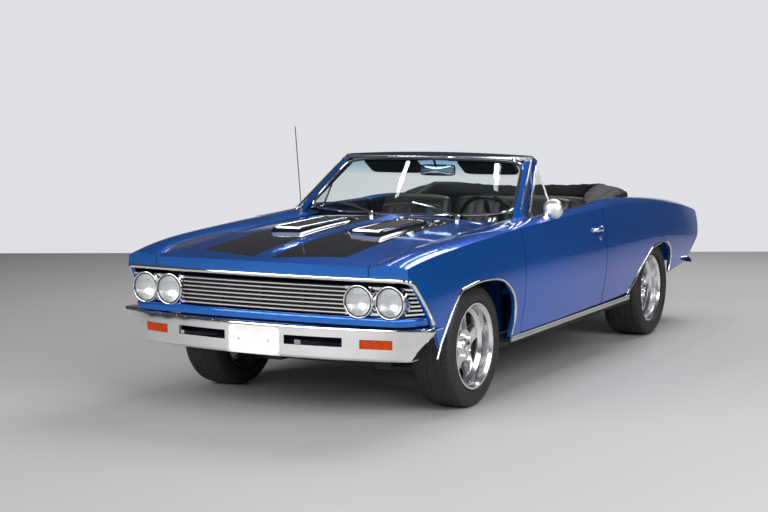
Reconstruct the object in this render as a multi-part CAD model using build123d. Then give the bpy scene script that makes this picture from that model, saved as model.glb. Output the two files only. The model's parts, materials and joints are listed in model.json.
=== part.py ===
"""Open two-door muscle car of the middle sixties, standing on its four wheels.

Frame: +X to the car's left, +Y to its rear, +Z up, millimetres.
The origin is on the ground under the middle of the car's length and width.
"""
from build123d import *
import os
from collections import namedtuple
from math import cos, radians, sin, sqrt

# Overall sizes
LENGTH = 5004.0
WIDTH = 1900.0
WHEELBASE = LENGTH * 0.583733
FRONT_OVERHANG = LENGTH * 0.171863
AXLE_HEIGHT = 326.0
GAP = 4.0
SEAT_GAP = 0.3

NOSE_Y = -LENGTH / 2
TAIL_Y = LENGTH / 2
FRONT_AXLE_Y = NOSE_Y + FRONT_OVERHANG
REAR_AXLE_Y = FRONT_AXLE_Y + WHEELBASE

# Places of the panel seams along the car
DOOR_FRONT_Y = FRONT_AXLE_Y + 477.0
DOOR_REAR_Y = REAR_AXLE_Y - WHEELBASE * 0.405341
HOOD_REAR_Y = FRONT_AXLE_Y + 630.0
LID_FRONT_Y = REAR_AXLE_Y - 159.0
FIREWALL_Y = FRONT_AXLE_Y + 552.0
HOOD_HALF_WIDTH = 638.0
LID_HALF_WIDTH = 672.0

# Wall thicknesses
SKIN = 22.0
DOOR_INNER_X = 790.0
FLOOR_TOP_Z = 320.0
FLOOR_THICKNESS = 20.0

# Wheels: 17 inch rims with wide low tyres
TYRE_RADIUS = AXLE_HEIGHT
FLANGE_RADIUS = 230.0
BEAD_RADIUS = 217.0
BARREL_RADIUS = 205.0
RIM_HALF_WIDTH = 112.0
FRONT_TYRE_WIDTH = 245.0
REAR_TYRE_WIDTH = 275.0
FRONT_WHEEL_X = 724.0
REAR_WHEEL_X = 698.0
TYRE_SIDES = 72
SPOKES = 5
SPOKE_FLARE = 14.0
SPINDLE_RADIUS = 20.0
SPINDLE_CLEARANCE = 0.05
DRUM_RADIUS = 140.0
KINGPIN_X = 676.0
COLUMN_RADIUS = 19.0
BALL_RISE = 122.0
HUB_INSET = 20.0

# One cross section of the body's left side, from the inner edge of its top down to its foot.
# deck: inner edge of the top; ridge: crown of the top, placed by its share of the way from deck to crease;
# crease: sharp shoulder line;
# side: widest place; low: lower crease; foot: bottom edge.
Station = namedtuple(
    "Station",
    "y deck_x deck_z ridge_share ridge_z crease_x crease_z side_x side_z low_x low_z foot_x foot_z",
)
FENDER_EDGE_X = HOOD_HALF_WIDTH + GAP
LID_EDGE_X = LID_HALF_WIDTH + GAP
FENDER_STATIONS = [
    Station(NOSE_Y + 10, FENDER_EDGE_X, 800, 0.50, 806, 834, 793, 845, 655, 854, 470, 848, 330),
    Station(NOSE_Y + 300, FENDER_EDGE_X, 843, 0.52, 874, 854, 846, 880, 690, 884, 475, 868, 328),
    Station(FRONT_AXLE_Y, FENDER_EDGE_X, 892, 0.53, 918, 874, 893, 906, 720, 897, 478, 882, 326),
    Station(DOOR_FRONT_Y, FENDER_EDGE_X, 917, 0.545, 940, 886, 923, 918, 745, 910, 480, 888, 334),
]
DOOR_STATIONS = [
    Station(DOOR_FRONT_Y, DOOR_INNER_X, 940, 0.50, 937, 886, 923, 918, 745, 910, 480, 888, 340),
    Station(DOOR_FRONT_Y + 630, DOOR_INNER_X, 960, 0.485, 966, 889, 942, 924, 760, 914, 482, 890, 349),
    Station(DOOR_REAR_Y, DOOR_INNER_X, 975, 0.474, 984, 887, 956, 922, 770, 912, 488, 888, 360),
]
QUARTER_STATIONS = [
    Station(DOOR_REAR_Y, 762, 978, 0.592, 984, 887, 956, 922, 770, 912, 488, 888, 360),
    Station(DOOR_REAR_Y + 330, 745, 990, 0.601, 997, 883, 962, 917, 780, 906, 496, 884, 366),
    Station(REAR_AXLE_Y, LID_EDGE_X, 952, 0.599, 958, 858, 931, 888, 765, 872, 515, 862, 400),
    Station(REAR_AXLE_Y + 620, LID_EDGE_X, 893, 0.50, 903, 828, 874, 850, 720, 834, 500, 820, 430),
    Station(TAIL_Y - 80, LID_EDGE_X, 812, 0.536, 822, 786, 793, 800, 680, 792, 520, 780, 470),
]

# Nose outline seen from above and the leaning front edge seen from the side
LIP_BOW = 56.0
LIP_HALF_WIDTH = 829.0
LIP_BAND_Z = 742.0
LIP_Y = NOSE_Y + 20.0
FRONT_EDGE_LEAN = 0.75
FRONT_EDGE_TOP_Y = NOSE_Y + 100.0

# Windscreen, bottom and top arcs of its outer face
SCREEN_FOOT_X, SCREEN_FOOT_Y, SCREEN_FOOT_Z = 700.0, FRONT_AXLE_Y + 800.0, 966.0
SCREEN_HEAD_X, SCREEN_HEAD_Y, SCREEN_HEAD_Z = 604.0, FRONT_AXLE_Y + 1184.0, 1270.0
SCREEN_FOOT_BOW, SCREEN_HEAD_BOW = 90.0, 45.0
SCREEN_FOOT_DROP, SCREEN_HEAD_RISE = 22.0, 14.0
GLASS_THICKNESS = 6.0
SCREEN_SLOPE = 0.62
PILLAR_WIDTH = 46.0
PILLAR_DEPTH = 48.0

# Bumpers
BUMPER_SHEET = 6.0
FRONT_BUMPER_LOW_Z, FRONT_BUMPER_HIGH_Z = 342.0, 512.0
REAR_BUMPER_LOW_Z, REAR_BUMPER_HIGH_Z = 432.0, 606.0
BUMPER_DEPTH = 86.0
BUMPER_ROLL = 18.0
REAR_BUMPER_END_X, REAR_BUMPER_END_Y = 850.0, TAIL_Y - 330.0
REAR_BUMPER_DEPTH = 70.0
TAIL_SLANT = ((TAIL_Y - 116.0, 612.0), (TAIL_Y - 450.0, 430.0))
PLATE_HOLE_SPACING = 177.8
PLATE_HOLE_RADIUS = 3.6

# Lamps and grille
LAMP_RADIUS = 73.0
BEZEL_RADIUS = 84.0
LAMP_Z = 638.0
INNER_LAMP_X, OUTER_LAMP_X = 573.0, 740.0
LAMP_INSET = 26.0
GRILLE_BARS = 7
GRILLE_HALF_WIDTH = 792.0
GRILLE_INSET = 48.0
GRILLE_BAR_DEPTH = 16.0
GRILLE_LOW_Z, GRILLE_HIGH_Z = 576.0, 704.0
GRILLE_BAR_HEIGHT = 9.0
APRON_LOW_Z, APRON_HIGH_Z = 522.0, 562.0
APRON_INSET = 10.0
APRON_HALF_WIDTH = 780.0
APRON_ROLL = 14.0

# Door swing
DOOR_FRONT_GAP = 7.0
VENT_REAR_Y = FRONT_AXLE_Y + 1172.0
VENT_FRONT_Y = FRONT_AXLE_Y + 792.0
VENT_FRAME = 14.0
VENT_PANE = 5.0
VENT_CLEARANCE = 10.0
DOOR_HINGE_X = 900.0
DOOR_HINGE_Y = DOOR_FRONT_Y + 75.0
DOOR_HINGE_ZS = (560.0, 780.0)
HINGE_PIN_RADIUS = 5.5
HINGE_EYE_RADIUS = 9.0
HINGE_HEIGHT = 30.0
DOOR_SWING_RADIUS = DOOR_HINGE_X - DOOR_INNER_X - 0.5
LID_PIN_RADIUS = 5.0
LID_PIN_INSET = 40.0
LID_PIN_DROP = 12.0
PIN_CLEARANCE = 0.05
PILLAR_POST_X = 762.0
RAIL_OUTER_X = 378.0
TUB_INNER_X = 536.0
TUB_RADIUS = 384.0

# Hood and trunk lid: heights of their edges and middles along the car
Crown = namedtuple("Crown", "y edge_z centre_z")
HOOD_CROWNS = [
    Crown(NOSE_Y + 10, 800, 814),
    Crown(NOSE_Y + 300, 843, 864),
    Crown(FRONT_AXLE_Y, 892, 916),
    Crown(HOOD_REAR_Y, 922, 947),
]
LID_CROWNS = [
    Crown(LID_FRONT_Y, 962, 978),
    Crown(REAR_AXLE_Y + 400, 919, 940),
    Crown(REAR_AXLE_Y + 820, 870, 892),
    Crown(TAIL_Y - 60, 800, 820),
]
HOOD_THICKNESS = 24.0
RIDGE_HALF_WIDTH = 46.0
RIDGE_RISE = 14.0
BLISTER_X = 250.0
BLISTER_HALF_WIDTH = 105.0
BLISTER_RISE = 26.0
BLISTER_FRONT_Y = FRONT_AXLE_Y - 150.0
BLISTER_REAR_Y = FRONT_AXLE_Y + 400.0
LID_REAR_Y = TAIL_Y - 92.0
DECK_GAP = 14.0
TAIL_PANEL_Y = TAIL_Y - 130.0

# Engine and gearbox
ENGINE_FRONT_Y = FRONT_AXLE_Y - 260.0
ENGINE_REAR_Y = FRONT_AXLE_Y + 400.0
GEARBOX_REAR_Y = FRONT_AXLE_Y + 1060.0
GEARBOX_RADIUS = 85.0
GEARBOX_FRONT_Z, GEARBOX_REAR_Z = 390.0, 345.0
RAIL_TOP_Z = 410.0

# Frame: side rails by their middle line, cross members by name, place, reach, bottom and height
FRAME_LOW_Z = 210.0
RAIL_HEIGHT = 90.0
RAIL_WIDTH = 64.0
RAIL_FRONT_Y = NOSE_Y + 140.0
TRUNK_FLOOR_Z = 510.0
Rail = namedtuple("Rail", "y x z")
RAIL_PATH = [
    Rail(RAIL_FRONT_Y, RAIL_OUTER_X - RAIL_WIDTH / 2, RAIL_TOP_Z - RAIL_HEIGHT),
    Rail(FRONT_AXLE_Y + 300, RAIL_OUTER_X - RAIL_WIDTH / 2, RAIL_TOP_Z - RAIL_HEIGHT),
    Rail(FRONT_AXLE_Y + 560, 640, FRAME_LOW_Z),
    Rail(REAR_AXLE_Y - 606, 640, FRAME_LOW_Z),
    Rail(REAR_AXLE_Y - 400, 455, TRUNK_FLOOR_Z - FLOOR_THICKNESS - RAIL_HEIGHT),
    Rail(TAIL_Y - 190, 455, TRUNK_FLOOR_Z - FLOOR_THICKNESS - RAIL_HEIGHT),
]
CROSS_MEMBERS = [
    ("gearbox support", FRONT_AXLE_Y + 940, 640, FRAME_LOW_Z + 50, 40),
    ("middle", REAR_AXLE_Y - 700, 640, FRAME_LOW_Z + 50, 40),
    ("tail", TAIL_Y - 240, 455, 440, 50),
]

# Floor and cowl
TUNNEL_HALF_WIDTH = 150.0
TUNNEL_WALL = 14.0
TUNNEL_TOP_Z = 515.0
SILL_INNER_X, SILL_OUTER_X = 770.0, 880.0
SEAT_PAN_Y = REAR_AXLE_Y - 620.0
TRUNK_STEP_Y = REAR_AXLE_Y - 470.0
COWL_FRONT_Y = HOOD_REAR_Y + 21.0

# Seats
SEAT_X = 425.0
SEAT_HALF_WIDTH = 255.0
CUSHION_LOW_Z, CUSHION_TOP_Z = 400.0, 560.0
BACK_TOP_Z = 1010.0
FRONT_SEAT_Y0, FRONT_SEAT_Y1 = FRONT_AXLE_Y + 1180.0, FRONT_AXLE_Y + 1690.0

# Steering column and dashboard
COLUMN_TILT = 26.0
STEER_WHEEL_RADIUS = 195.0
STEER_WHEEL_Y, STEER_WHEEL_Z = FRONT_AXLE_Y + 1085.0, 880.0
COLUMN_ROD_RADIUS = 16.0
DASH_REAR_Y = FRONT_AXLE_Y + 930.0

# Folded top
TOP_FRONT_Y = DOOR_REAR_Y + 330.0
TOP_REAR_Y = LID_FRONT_Y - 74.0
TOP_LOW_Z = 955.0
WELL_HALF_WIDTH = 575.0
WELL_REAR_Y = TOP_REAR_Y - 101.0

# Exhaust
EXHAUST_Z = 226.0


def line(a, b):
    return Edge.make_line(a, b)


def arc(a, b, c):
    return Edge.make_three_point_arc(a, b, c)


def block(x0, x1, y0, y1, z0, z1):
    """Box between two corners."""
    size = Solid.make_box(x1 - x0, y1 - y0, z1 - z0)
    return size.moved(Location((x0, y0, z0)))


def rod(start, end, radius):
    """Round bar between two points."""
    start, end = Vector(*start), Vector(*end)
    path = end - start
    return Solid.make_cylinder(radius, path.length, Plane(start, z_dir=path))


def biggest(shape):
    """The largest solid of a cut or joined shape."""
    return shape.solids().sort_by(SortBy.VOLUME)[-1]


def rounded_edge(solid, near, radius):
    """The solid with one edge rounded over: the edge whose middle is nearest a point."""
    edge = min(solid.edges(), key=lambda e: (e.position_at(0.5) - Vector(*near)).length)
    return solid.fillet(radius, [edge])


def mirrored(shape):
    """The same piece on the car's other side."""
    return mirror(shape, about=Plane.YZ)


def profile_along_x(points_or_edges, x0, x1):
    """Solid of a closed outline drawn in the YZ plane, between two X places."""
    wire = Wire(points_or_edges)
    face = Face(wire.moved(Location((x0, 0, 0))))
    return Solid.extrude(face, Vector(x1 - x0, 0, 0))


def outline_yz(corners):
    """Closed straight outline in the YZ plane from (y, z) corners."""
    points = [Vector(0, y, z) for y, z in corners]
    return [line(a, b) for a, b in zip(points, points[1:] + points[:1])]


def outline_up(corners, z0, z1):
    """Solid of a straight outline in the XY plane from (x, y) corners, between two heights."""
    points = [Vector(x, y, z0) for x, y in corners]
    wire = Wire([line(a, b) for a, b in zip(points, points[1:] + points[:1])])
    return Solid.extrude(Face(wire), Vector(0, 0, z1 - z0))


def station_at(rows, y):
    """Smooth cubic between the rows of a station table."""
    count = len(rows)
    index = 0
    while index < count - 2 and y > rows[index + 1].y:
        index += 1
    low, high = rows[index], rows[index + 1]
    before, after = rows[max(index - 1, 0)], rows[min(index + 2, count - 1)]
    span = high.y - low.y
    t = (y - low.y) / span
    values = [y]
    for column in range(1, len(low)):
        a, b = low[column], high[column]
        slope_a = (b - before[column]) / (high.y - before.y) * span
        slope_b = (after[column] - a) / (after.y - low.y) * span
        values.append(
            a * (2 * t**3 - 3 * t**2 + 1)
            + slope_a * (t**3 - 2 * t**2 + t)
            + b * (3 * t**2 - 2 * t**3)
            + slope_b * (t**3 - t**2)
        )
    return Station(*values)


def skin_wire(s, wall):
    """Closed section of a panel: its outer line and an inner line one wall further in."""
    y = s.y
    ridge_x = s.deck_x + (s.crease_x - s.deck_x) * s.ridge_share
    deck, ridge = Vector(s.deck_x, y, s.deck_z), Vector(ridge_x, y, s.ridge_z)
    crease, side = Vector(s.crease_x, y, s.crease_z), Vector(s.side_x, y, s.side_z)
    low, foot = Vector(s.low_x, y, s.low_z), Vector(s.foot_x, y, s.foot_z)
    foot_in, low_in = Vector(s.foot_x - wall, y, s.foot_z), Vector(s.low_x - wall, y, s.low_z)
    side_in = Vector(s.side_x - wall, y, s.side_z)
    crease_in = Vector(s.crease_x - wall - 4, y, s.crease_z - wall)
    ridge_in, deck_in = Vector(ridge_x, y, s.ridge_z - wall), Vector(s.deck_x, y, s.deck_z - wall)
    return Wire(
        [
            arc(deck, ridge, crease),
            arc(crease, side, low),
            line(low, foot),
            line(foot, foot_in),
            line(foot_in, low_in),
            arc(low_in, side_in, crease_in),
            arc(crease_in, ridge_in, deck_in),
            line(deck_in, deck),
        ]
    )


def door_wire(s, inner_x):
    """Closed section of a door, as thick as the whole door."""
    y = s.y
    ridge_x = inner_x + (s.crease_x - inner_x) * s.ridge_share
    deck, ridge = Vector(inner_x, y, s.deck_z), Vector(ridge_x, y, s.ridge_z)
    crease, side = Vector(s.crease_x, y, s.crease_z), Vector(s.side_x, y, s.side_z)
    low, foot = Vector(s.low_x, y, s.low_z), Vector(s.foot_x, y, s.foot_z)
    foot_in = Vector(inner_x, y, s.foot_z)
    return Wire(
        [
            arc(deck, ridge, crease),
            arc(crease, side, low),
            line(low, foot),
            line(foot, foot_in),
            line(foot_in, deck),
        ]
    )


def evenly(y0, y1, count):
    return [y0 + (y1 - y0) * i / (count - 1) for i in range(count)]


def skin_loft(rows, y0, y1, count, wall=SKIN):
    return Solid.make_loft([skin_wire(station_at(rows, y), wall) for y in evenly(y0, y1, count)])


# Wheel arches, seen from the side

def front_arch(x0, x1):
    """Front arch opening: leaning front edge, flat crown, round rear."""
    c = FRONT_AXLE_Y
    p = [Vector(0, c + y, z) for y, z in (
        (-548, 300), (-352, 596), (-288, 650), (-208, 664), (0, 678), (192, 654),
        (322, 560), (366, 450), (336, 300),
    )]
    edges = [
        line(p[0], p[1]),
        arc(p[1], p[2], p[3]),
        arc(p[3], p[4], p[5]),
        arc(p[5], p[6], p[7]),
        line(p[7], p[8]),
        line(p[8], p[0]),
    ]
    return profile_along_x(edges, x0, x1)


def rear_arch(x0, x1):
    """Rear arch opening: long straight front edge, crown just below the tyre's top."""
    c = REAR_AXLE_Y
    p = [Vector(0, c + y, z) for y, z in (
        (-690, 320), (-354, 550), (-215, 620), (-39, 640), (181, 622), (289, 532),
        (305, 470), (250, 320),
    )]
    edges = [
        line(p[0], p[1]),
        arc(p[1], p[2], p[3]),
        arc(p[3], p[4], p[5]),
        line(p[5], p[6]),
        line(p[6], p[7]),
        line(p[7], p[0]),
    ]
    return profile_along_x(edges, x0, x1)


# Nose outline seen from above

def lip_y(x):
    """Place along the car of the bowed nose line, at a distance from the car's middle."""
    radius = (LIP_HALF_WIDTH**2 + LIP_BOW**2) / (2 * LIP_BOW)
    return LIP_Y + radius - sqrt(radius**2 - x**2)


def lip_plan(offset, z0, z1, back_y=NOSE_Y + 1000):
    """Everything behind the bowed nose line moved back by an offset, between two heights."""
    half = LIP_HALF_WIDTH + 120
    a = Vector(-half, lip_y(half) + offset, z0)
    m = Vector(0, LIP_Y + offset, z0)
    b = Vector(half, lip_y(half) + offset, z0)
    c, d = Vector(half, back_y, z0), Vector(-half, back_y, z0)
    wire = Wire([arc(a, m, b), line(b, c), line(c, d), line(d, a)])
    return Solid.extrude(Face(wire), Vector(0, 0, z1 - z0))


def front_edge_y(z):
    """Place along the car of the fenders' leaning front edge at a height."""
    return FRONT_EDGE_TOP_Y + (LIP_BAND_Z - z) * FRONT_EDGE_LEAN


def front_side_cut():
    """Leaning front edge of the fenders: everything ahead of it, seen from the side."""
    low_z = 300.0
    corners = [
        (NOSE_Y - 100, low_z), (front_edge_y(low_z), low_z),
        (FRONT_EDGE_TOP_Y, LIP_BAND_Z), (NOSE_Y - 100, LIP_BAND_Z),
    ]
    return profile_along_x(outline_yz(corners), 500, 1000)


def make_fender():
    """Left front fender: top, side, front band over the lamps and the strip beside the cowl."""
    outer = skin_loft(FENDER_STATIONS, NOSE_Y + 10, DOOR_FRONT_Y - DOOR_FRONT_GAP, 6)
    fender = outer & lip_plan(0, 0, 1200, DOOR_FRONT_Y + 10)
    fender = fender - front_side_cut()
    fender = fender - front_arch(500, 1000)
    band = lip_plan(0, LIP_BAND_Z, 900) - lip_plan(SKIN, LIP_BAND_Z - 1, 901)
    nose = station_at(FENDER_STATIONS, NOSE_Y + 60)
    full = Solid.make_loft(
        [door_wire(station_at(FENDER_STATIONS, y), FENDER_EDGE_X) for y in (NOSE_Y + 10, NOSE_Y + 150)]
    )
    band = band & full & block(FENDER_EDGE_X, nose.side_x, NOSE_Y, NOSE_Y + 140, LIP_BAND_Z, 900)
    s = station_at(FENDER_STATIONS, DOOR_FRONT_Y)
    edge_x = DOOR_INNER_X - GAP - 2
    wires = []
    for y in (DOOR_FRONT_Y - 30, SCREEN_FOOT_Y + 60):
        rise = (y - DOOR_FRONT_Y) * 0.05
        a = Vector(FENDER_EDGE_X, y, s.deck_z + rise)
        m = Vector((FENDER_EDGE_X + edge_x) / 2, y, s.deck_z + 19 + rise)
        b = Vector(edge_x, y, s.ridge_z - 1 + rise)
        c, d = Vector(edge_x, y, s.deck_z - SKIN), Vector(FENDER_EDGE_X, y, s.deck_z - SKIN)
        wires.append(Wire([arc(a, m, b), line(b, c), line(c, d), line(d, a)]))
    strip = Solid.make_loft(wires, ruled=True)
    swept = vent_prism(VENT_CLEARANCE, VENT_FRAME + 2 * VENT_CLEARANCE)[0]
    return biggest(fender + band + strip - swept)


def rear_wheel_rod(x0, x1, radius):
    """Round bar about the rear wheels' axis."""
    return rod((x0, REAR_AXLE_Y, AXLE_HEIGHT), (x1, REAR_AXLE_Y, AXLE_HEIGHT), radius)


def make_quarter():
    """Left rear quarter with its wheel tub and the wall beside the rear seat."""
    outer = skin_loft(QUARTER_STATIONS, DOOR_REAR_Y + GAP + 1, TAIL_Y - 70, 7)
    tail = [
        line(Vector(0, 0, 200), Vector(0, 0, 1200)),
        line(Vector(0, 0, 1200), Vector(0, TAIL_Y - 360, 1200)),
        line(Vector(0, TAIL_Y - 360, 1200), Vector(0, TAIL_Y - 300, 900)),
        arc(Vector(0, TAIL_Y - 300, 900), Vector(0, TAIL_Y - 150, 800), Vector(0, TAIL_Y - 112, 640)),
        line(Vector(0, TAIL_Y - 112, 640), Vector(0, *TAIL_SLANT[0])),
        line(Vector(0, *TAIL_SLANT[0]), Vector(0, *TAIL_SLANT[1])),
        line(Vector(0, *TAIL_SLANT[1]), Vector(0, REAR_AXLE_Y + 250, 350)),
        line(Vector(0, REAR_AXLE_Y + 250, 350), Vector(0, REAR_AXLE_Y + 250, 200)),
        line(Vector(0, REAR_AXLE_Y + 250, 200), Vector(0, 0, 200)),
    ]
    quarter = outer & profile_along_x(tail, 500, 1000)
    quarter = quarter - rear_arch(700, 1000)
    tyre_side_x = REAR_WHEEL_X + REAR_TYRE_WIDTH / 2
    quarter = quarter - rear_wheel_rod(TUB_INNER_X, tyre_side_x + 5, TYRE_RADIUS + 10)
    tub = rear_wheel_rod(TUB_INNER_X, 860, TUB_RADIUS) - rear_wheel_rod(TUB_INNER_X + 12, 900,
        TUB_RADIUS - 12)
    tub = tub & block(500, 850, REAR_AXLE_Y - 400, REAR_AXLE_Y + 400, 490, 900)
    return biggest(quarter + tub)


def make_door():
    """Left door, as thick as the whole door, with its window slot and a slanted rear edge."""
    rows = DOOR_STATIONS
    door = Solid.make_loft(
        [door_wire(station_at(rows, y), DOOR_INNER_X) for y in evenly(DOOR_FRONT_Y, DOOR_REAR_Y, 5)]
    )
    rear = outline_up(
        [(DOOR_INNER_X - 10, DOOR_REAR_Y - 16), (1000, DOOR_REAR_Y + 4), (1000, DOOR_REAR_Y + 60),
         (DOOR_INNER_X - 10, DOOR_REAR_Y + 60)], 200, 1100)
    reach = DOOR_HINGE_Y - DOOR_FRONT_Y + 1
    front_x = DOOR_HINGE_X - sqrt(DOOR_SWING_RADIUS**2 - reach**2)
    corner = outline_up(
        [(DOOR_INNER_X - 10, DOOR_FRONT_Y - 1), (front_x, DOOR_FRONT_Y - 1),
         (DOOR_INNER_X + 1, DOOR_HINGE_Y - 12), (DOOR_INNER_X - 10, DOOR_HINGE_Y - 12)], 200, 1100)
    slot = block(812, 824, VENT_REAR_Y + 30, DOOR_REAR_Y - 60, 860, 1100)
    grip = block(DOOR_INNER_X - 1, DOOR_INNER_X + 25, DOOR_REAR_Y - 520, DOOR_REAR_Y - 200, 700, 760)
    return biggest(door - rear - slot - grip - corner)


def vent_prism(clearance, thickness):
    """Triangle of the vent window, standing on the door and leaning in with the pillar."""
    a = Vector(DOOR_INNER_X + 6, VENT_FRONT_Y, 940)
    b = Vector(DOOR_INNER_X + 6, VENT_REAR_Y, 950)
    c = Vector(668, FRONT_AXLE_Y + 1194, SCREEN_HEAD_Z - 8)
    normal = (b - a).cross(c - a).normalized()
    if normal.X < 0:
        normal = -normal
    middle = (a + b + c) * (1 / 3)
    grown = [p + (p - middle).normalized() * clearance * 2 for p in (a, b, c)]
    wire = Wire([line(grown[0], grown[1]), line(grown[1], grown[2]), line(grown[2], grown[0])])
    face = Face(wire.moved(Location(normal * (-thickness / 2))))
    return Solid.extrude(face, normal * thickness), (a, b, c, normal, middle)


def make_vent_window():
    """Chrome triangle frame with its pane in one piece, seated in the door's top."""
    prism, (a, b, c, normal, middle) = vent_prism(0, VENT_FRAME)
    inner = [p + (middle - p).normalized() * VENT_FRAME * 2.6 for p in (a, b, c)]
    wire = Wire([line(inner[0], inner[1]), line(inner[1], inner[2]), line(inner[2], inner[0])])
    pocket = (VENT_FRAME - VENT_PANE) / 2
    for side in (1, -1):
        face = Face(wire.moved(Location(normal * side * VENT_PANE / 2)))
        prism = prism - Solid.extrude(face, normal * side * (pocket + 1))
    return prism.solids()[0]


# Hood and trunk lid


def crown_at(rows, y):
    """Straight or smooth height of a crowned lid at one place along the car."""
    stations = [Station(r.y, r.edge_z, r.centre_z, *([0] * 10)) for r in rows]
    s = station_at(stations, y)
    return Crown(y, s.deck_x, s.deck_z)


def lid_loft(rows, half, thickness, y0, y1, count):
    """Crowned plate between the panels' edges."""
    wires = []
    for y in evenly(y0, y1, count):
        c = crown_at(rows, y)
        a, m, b = Vector(-half, y, c.edge_z), Vector(0, y, c.centre_z), Vector(half, y, c.edge_z)
        drop = Vector(0, 0, -thickness)
        sides = [arc(a, m, b), line(b, b + drop), arc(b + drop, m + drop, a + drop), line(a + drop, a)]
        wires.append(Wire(sides))
    return Solid.make_loft(wires)


def make_hood():
    """Hood with its front band, the ridge down its middle and two raised blisters."""
    plate = lid_loft(HOOD_CROWNS, HOOD_HALF_WIDTH, HOOD_THICKNESS, NOSE_Y + 10, HOOD_REAR_Y, 6)
    plate = plate & lip_plan(0, 0, 1200, HOOD_REAR_Y + 10)
    band = lip_plan(0, LIP_BAND_Z + 6, 900) - lip_plan(SKIN, LIP_BAND_Z, 901)
    band = band & block(-HOOD_HALF_WIDTH, HOOD_HALF_WIDTH, NOSE_Y, NOSE_Y + 140, LIP_BAND_Z, 806)
    hood = plate + band
    ridge = []
    for y, half, rise in (
        (NOSE_Y + 90, 20, 2), (NOSE_Y + 330, RIDGE_HALF_WIDTH, RIDGE_RISE),
        (HOOD_REAR_Y - 6, RIDGE_HALF_WIDTH, RIDGE_RISE),
    ):
        z = crown_at(HOOD_CROWNS, y).centre_z
        a, m, b = Vector(-half, y, z - 8), Vector(0, y, z + rise), Vector(half, y, z - 8)
        ridge.append(Wire([arc(a, m, b), line(b, a)]))
    hood = hood + Solid.make_loft(ridge, ruled=True)
    for side in (-1, 1):
        wires = []
        for y, rise in ((BLISTER_FRONT_Y, BLISTER_RISE), (BLISTER_REAR_Y, BLISTER_RISE * 0.6),
                        (HOOD_REAR_Y - 60, 2)):
            z = crown_at(HOOD_CROWNS, y).centre_z - 6
            x = side * BLISTER_X
            a = Vector(x - BLISTER_HALF_WIDTH, y, z - 12)
            b = Vector(x - BLISTER_HALF_WIDTH * 0.8, y, z + rise)
            c = Vector(x + BLISTER_HALF_WIDTH * 0.8, y, z + rise)
            d = Vector(x + BLISTER_HALF_WIDTH, y, z - 12)
            wires.append(Wire([line(a, b), line(b, c), line(c, d), line(d, a)]))
        hood = hood + Solid.make_loft(wires, ruled=True)
    return biggest(hood)


def make_trunk_lid():
    """Trunk lid with its rear lip turned down over the tail panel."""
    plate = lid_loft(LID_CROWNS, LID_HALF_WIDTH, HOOD_THICKNESS, LID_FRONT_Y, LID_REAR_Y, 5)
    lip = block(-LID_HALF_WIDTH, LID_HALF_WIDTH, LID_REAR_Y - 20, LID_REAR_Y, 770, 812)
    return biggest(plate + lip)


# Windscreen

def screen_arc(share, half_extra):
    """Ends and middle of the windscreen's face at a share of its height, and its inward direction."""
    x = SCREEN_FOOT_X + (SCREEN_HEAD_X - SCREEN_FOOT_X) * share
    y = SCREEN_FOOT_Y + (SCREEN_HEAD_Y - SCREEN_FOOT_Y) * share
    z = SCREEN_FOOT_Z + (SCREEN_HEAD_Z - SCREEN_FOOT_Z) * share
    bow = SCREEN_FOOT_BOW + (SCREEN_HEAD_BOW - SCREEN_FOOT_BOW) * share
    lift = -SCREEN_FOOT_DROP + (SCREEN_HEAD_RISE + SCREEN_FOOT_DROP) * share
    grow = ((x + half_extra) / x) ** 2
    middle = Vector(0, y - bow, z + lift)
    inward = Vector(0, bow, -lift)
    end = middle + inward * grow
    reach = Vector(x + half_extra, 0, 0)
    return end - reach, middle, end + reach, inward.normalized()


def screen_slab(share0, share1, half_extra, depth0, depth1):
    """Bent slab along the windscreen between two shares of its height and two depths."""
    wires = []
    for share in (share0, share1):
        a, m, b, inward = screen_arc(share, half_extra)
        near, far = inward * (depth0 / SCREEN_SLOPE), inward * (depth1 / SCREEN_SLOPE)
        wires.append(Wire([arc(a + near, m + near, b + near), line(b + near, b + far),
                           arc(b + far, m + far, a + far), line(a + far, a + near)]))
    return Solid.make_loft(wires, ruled=True)


def make_screen_frame():
    """Two pillars and the header round the windscreen, with the visors and mirror it carries."""
    frame = screen_slab(-0.16, 1.07, PILLAR_WIDTH, -6, PILLAR_DEPTH - 6)
    frame = frame - screen_slab(-0.2, 0.985, 0, -60, 120)
    visors = []
    y, z = SCREEN_HEAD_Y, SCREEN_HEAD_Z
    for side in (-1, 1):
        x0, x1 = sorted((side * 90, side * 520))
        visors.append(block(x0, x1, y + 2, y + 130, z - 16, z - 2))
    stem = rod((0, y - 20, z - 6), (0, y + 30, z - 70), 7)
    mirror_head = block(-110, 110, y + 22, y + 44, z - 100, z - 46)
    for piece in visors + [stem, mirror_head]:
        frame = frame + piece
    return biggest(frame)


def make_screen_glass():
    return screen_slab(0.0, 0.985 - 0.001, -SEAT_GAP, 4, 4 + GLASS_THICKNESS)


# Front face

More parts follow.
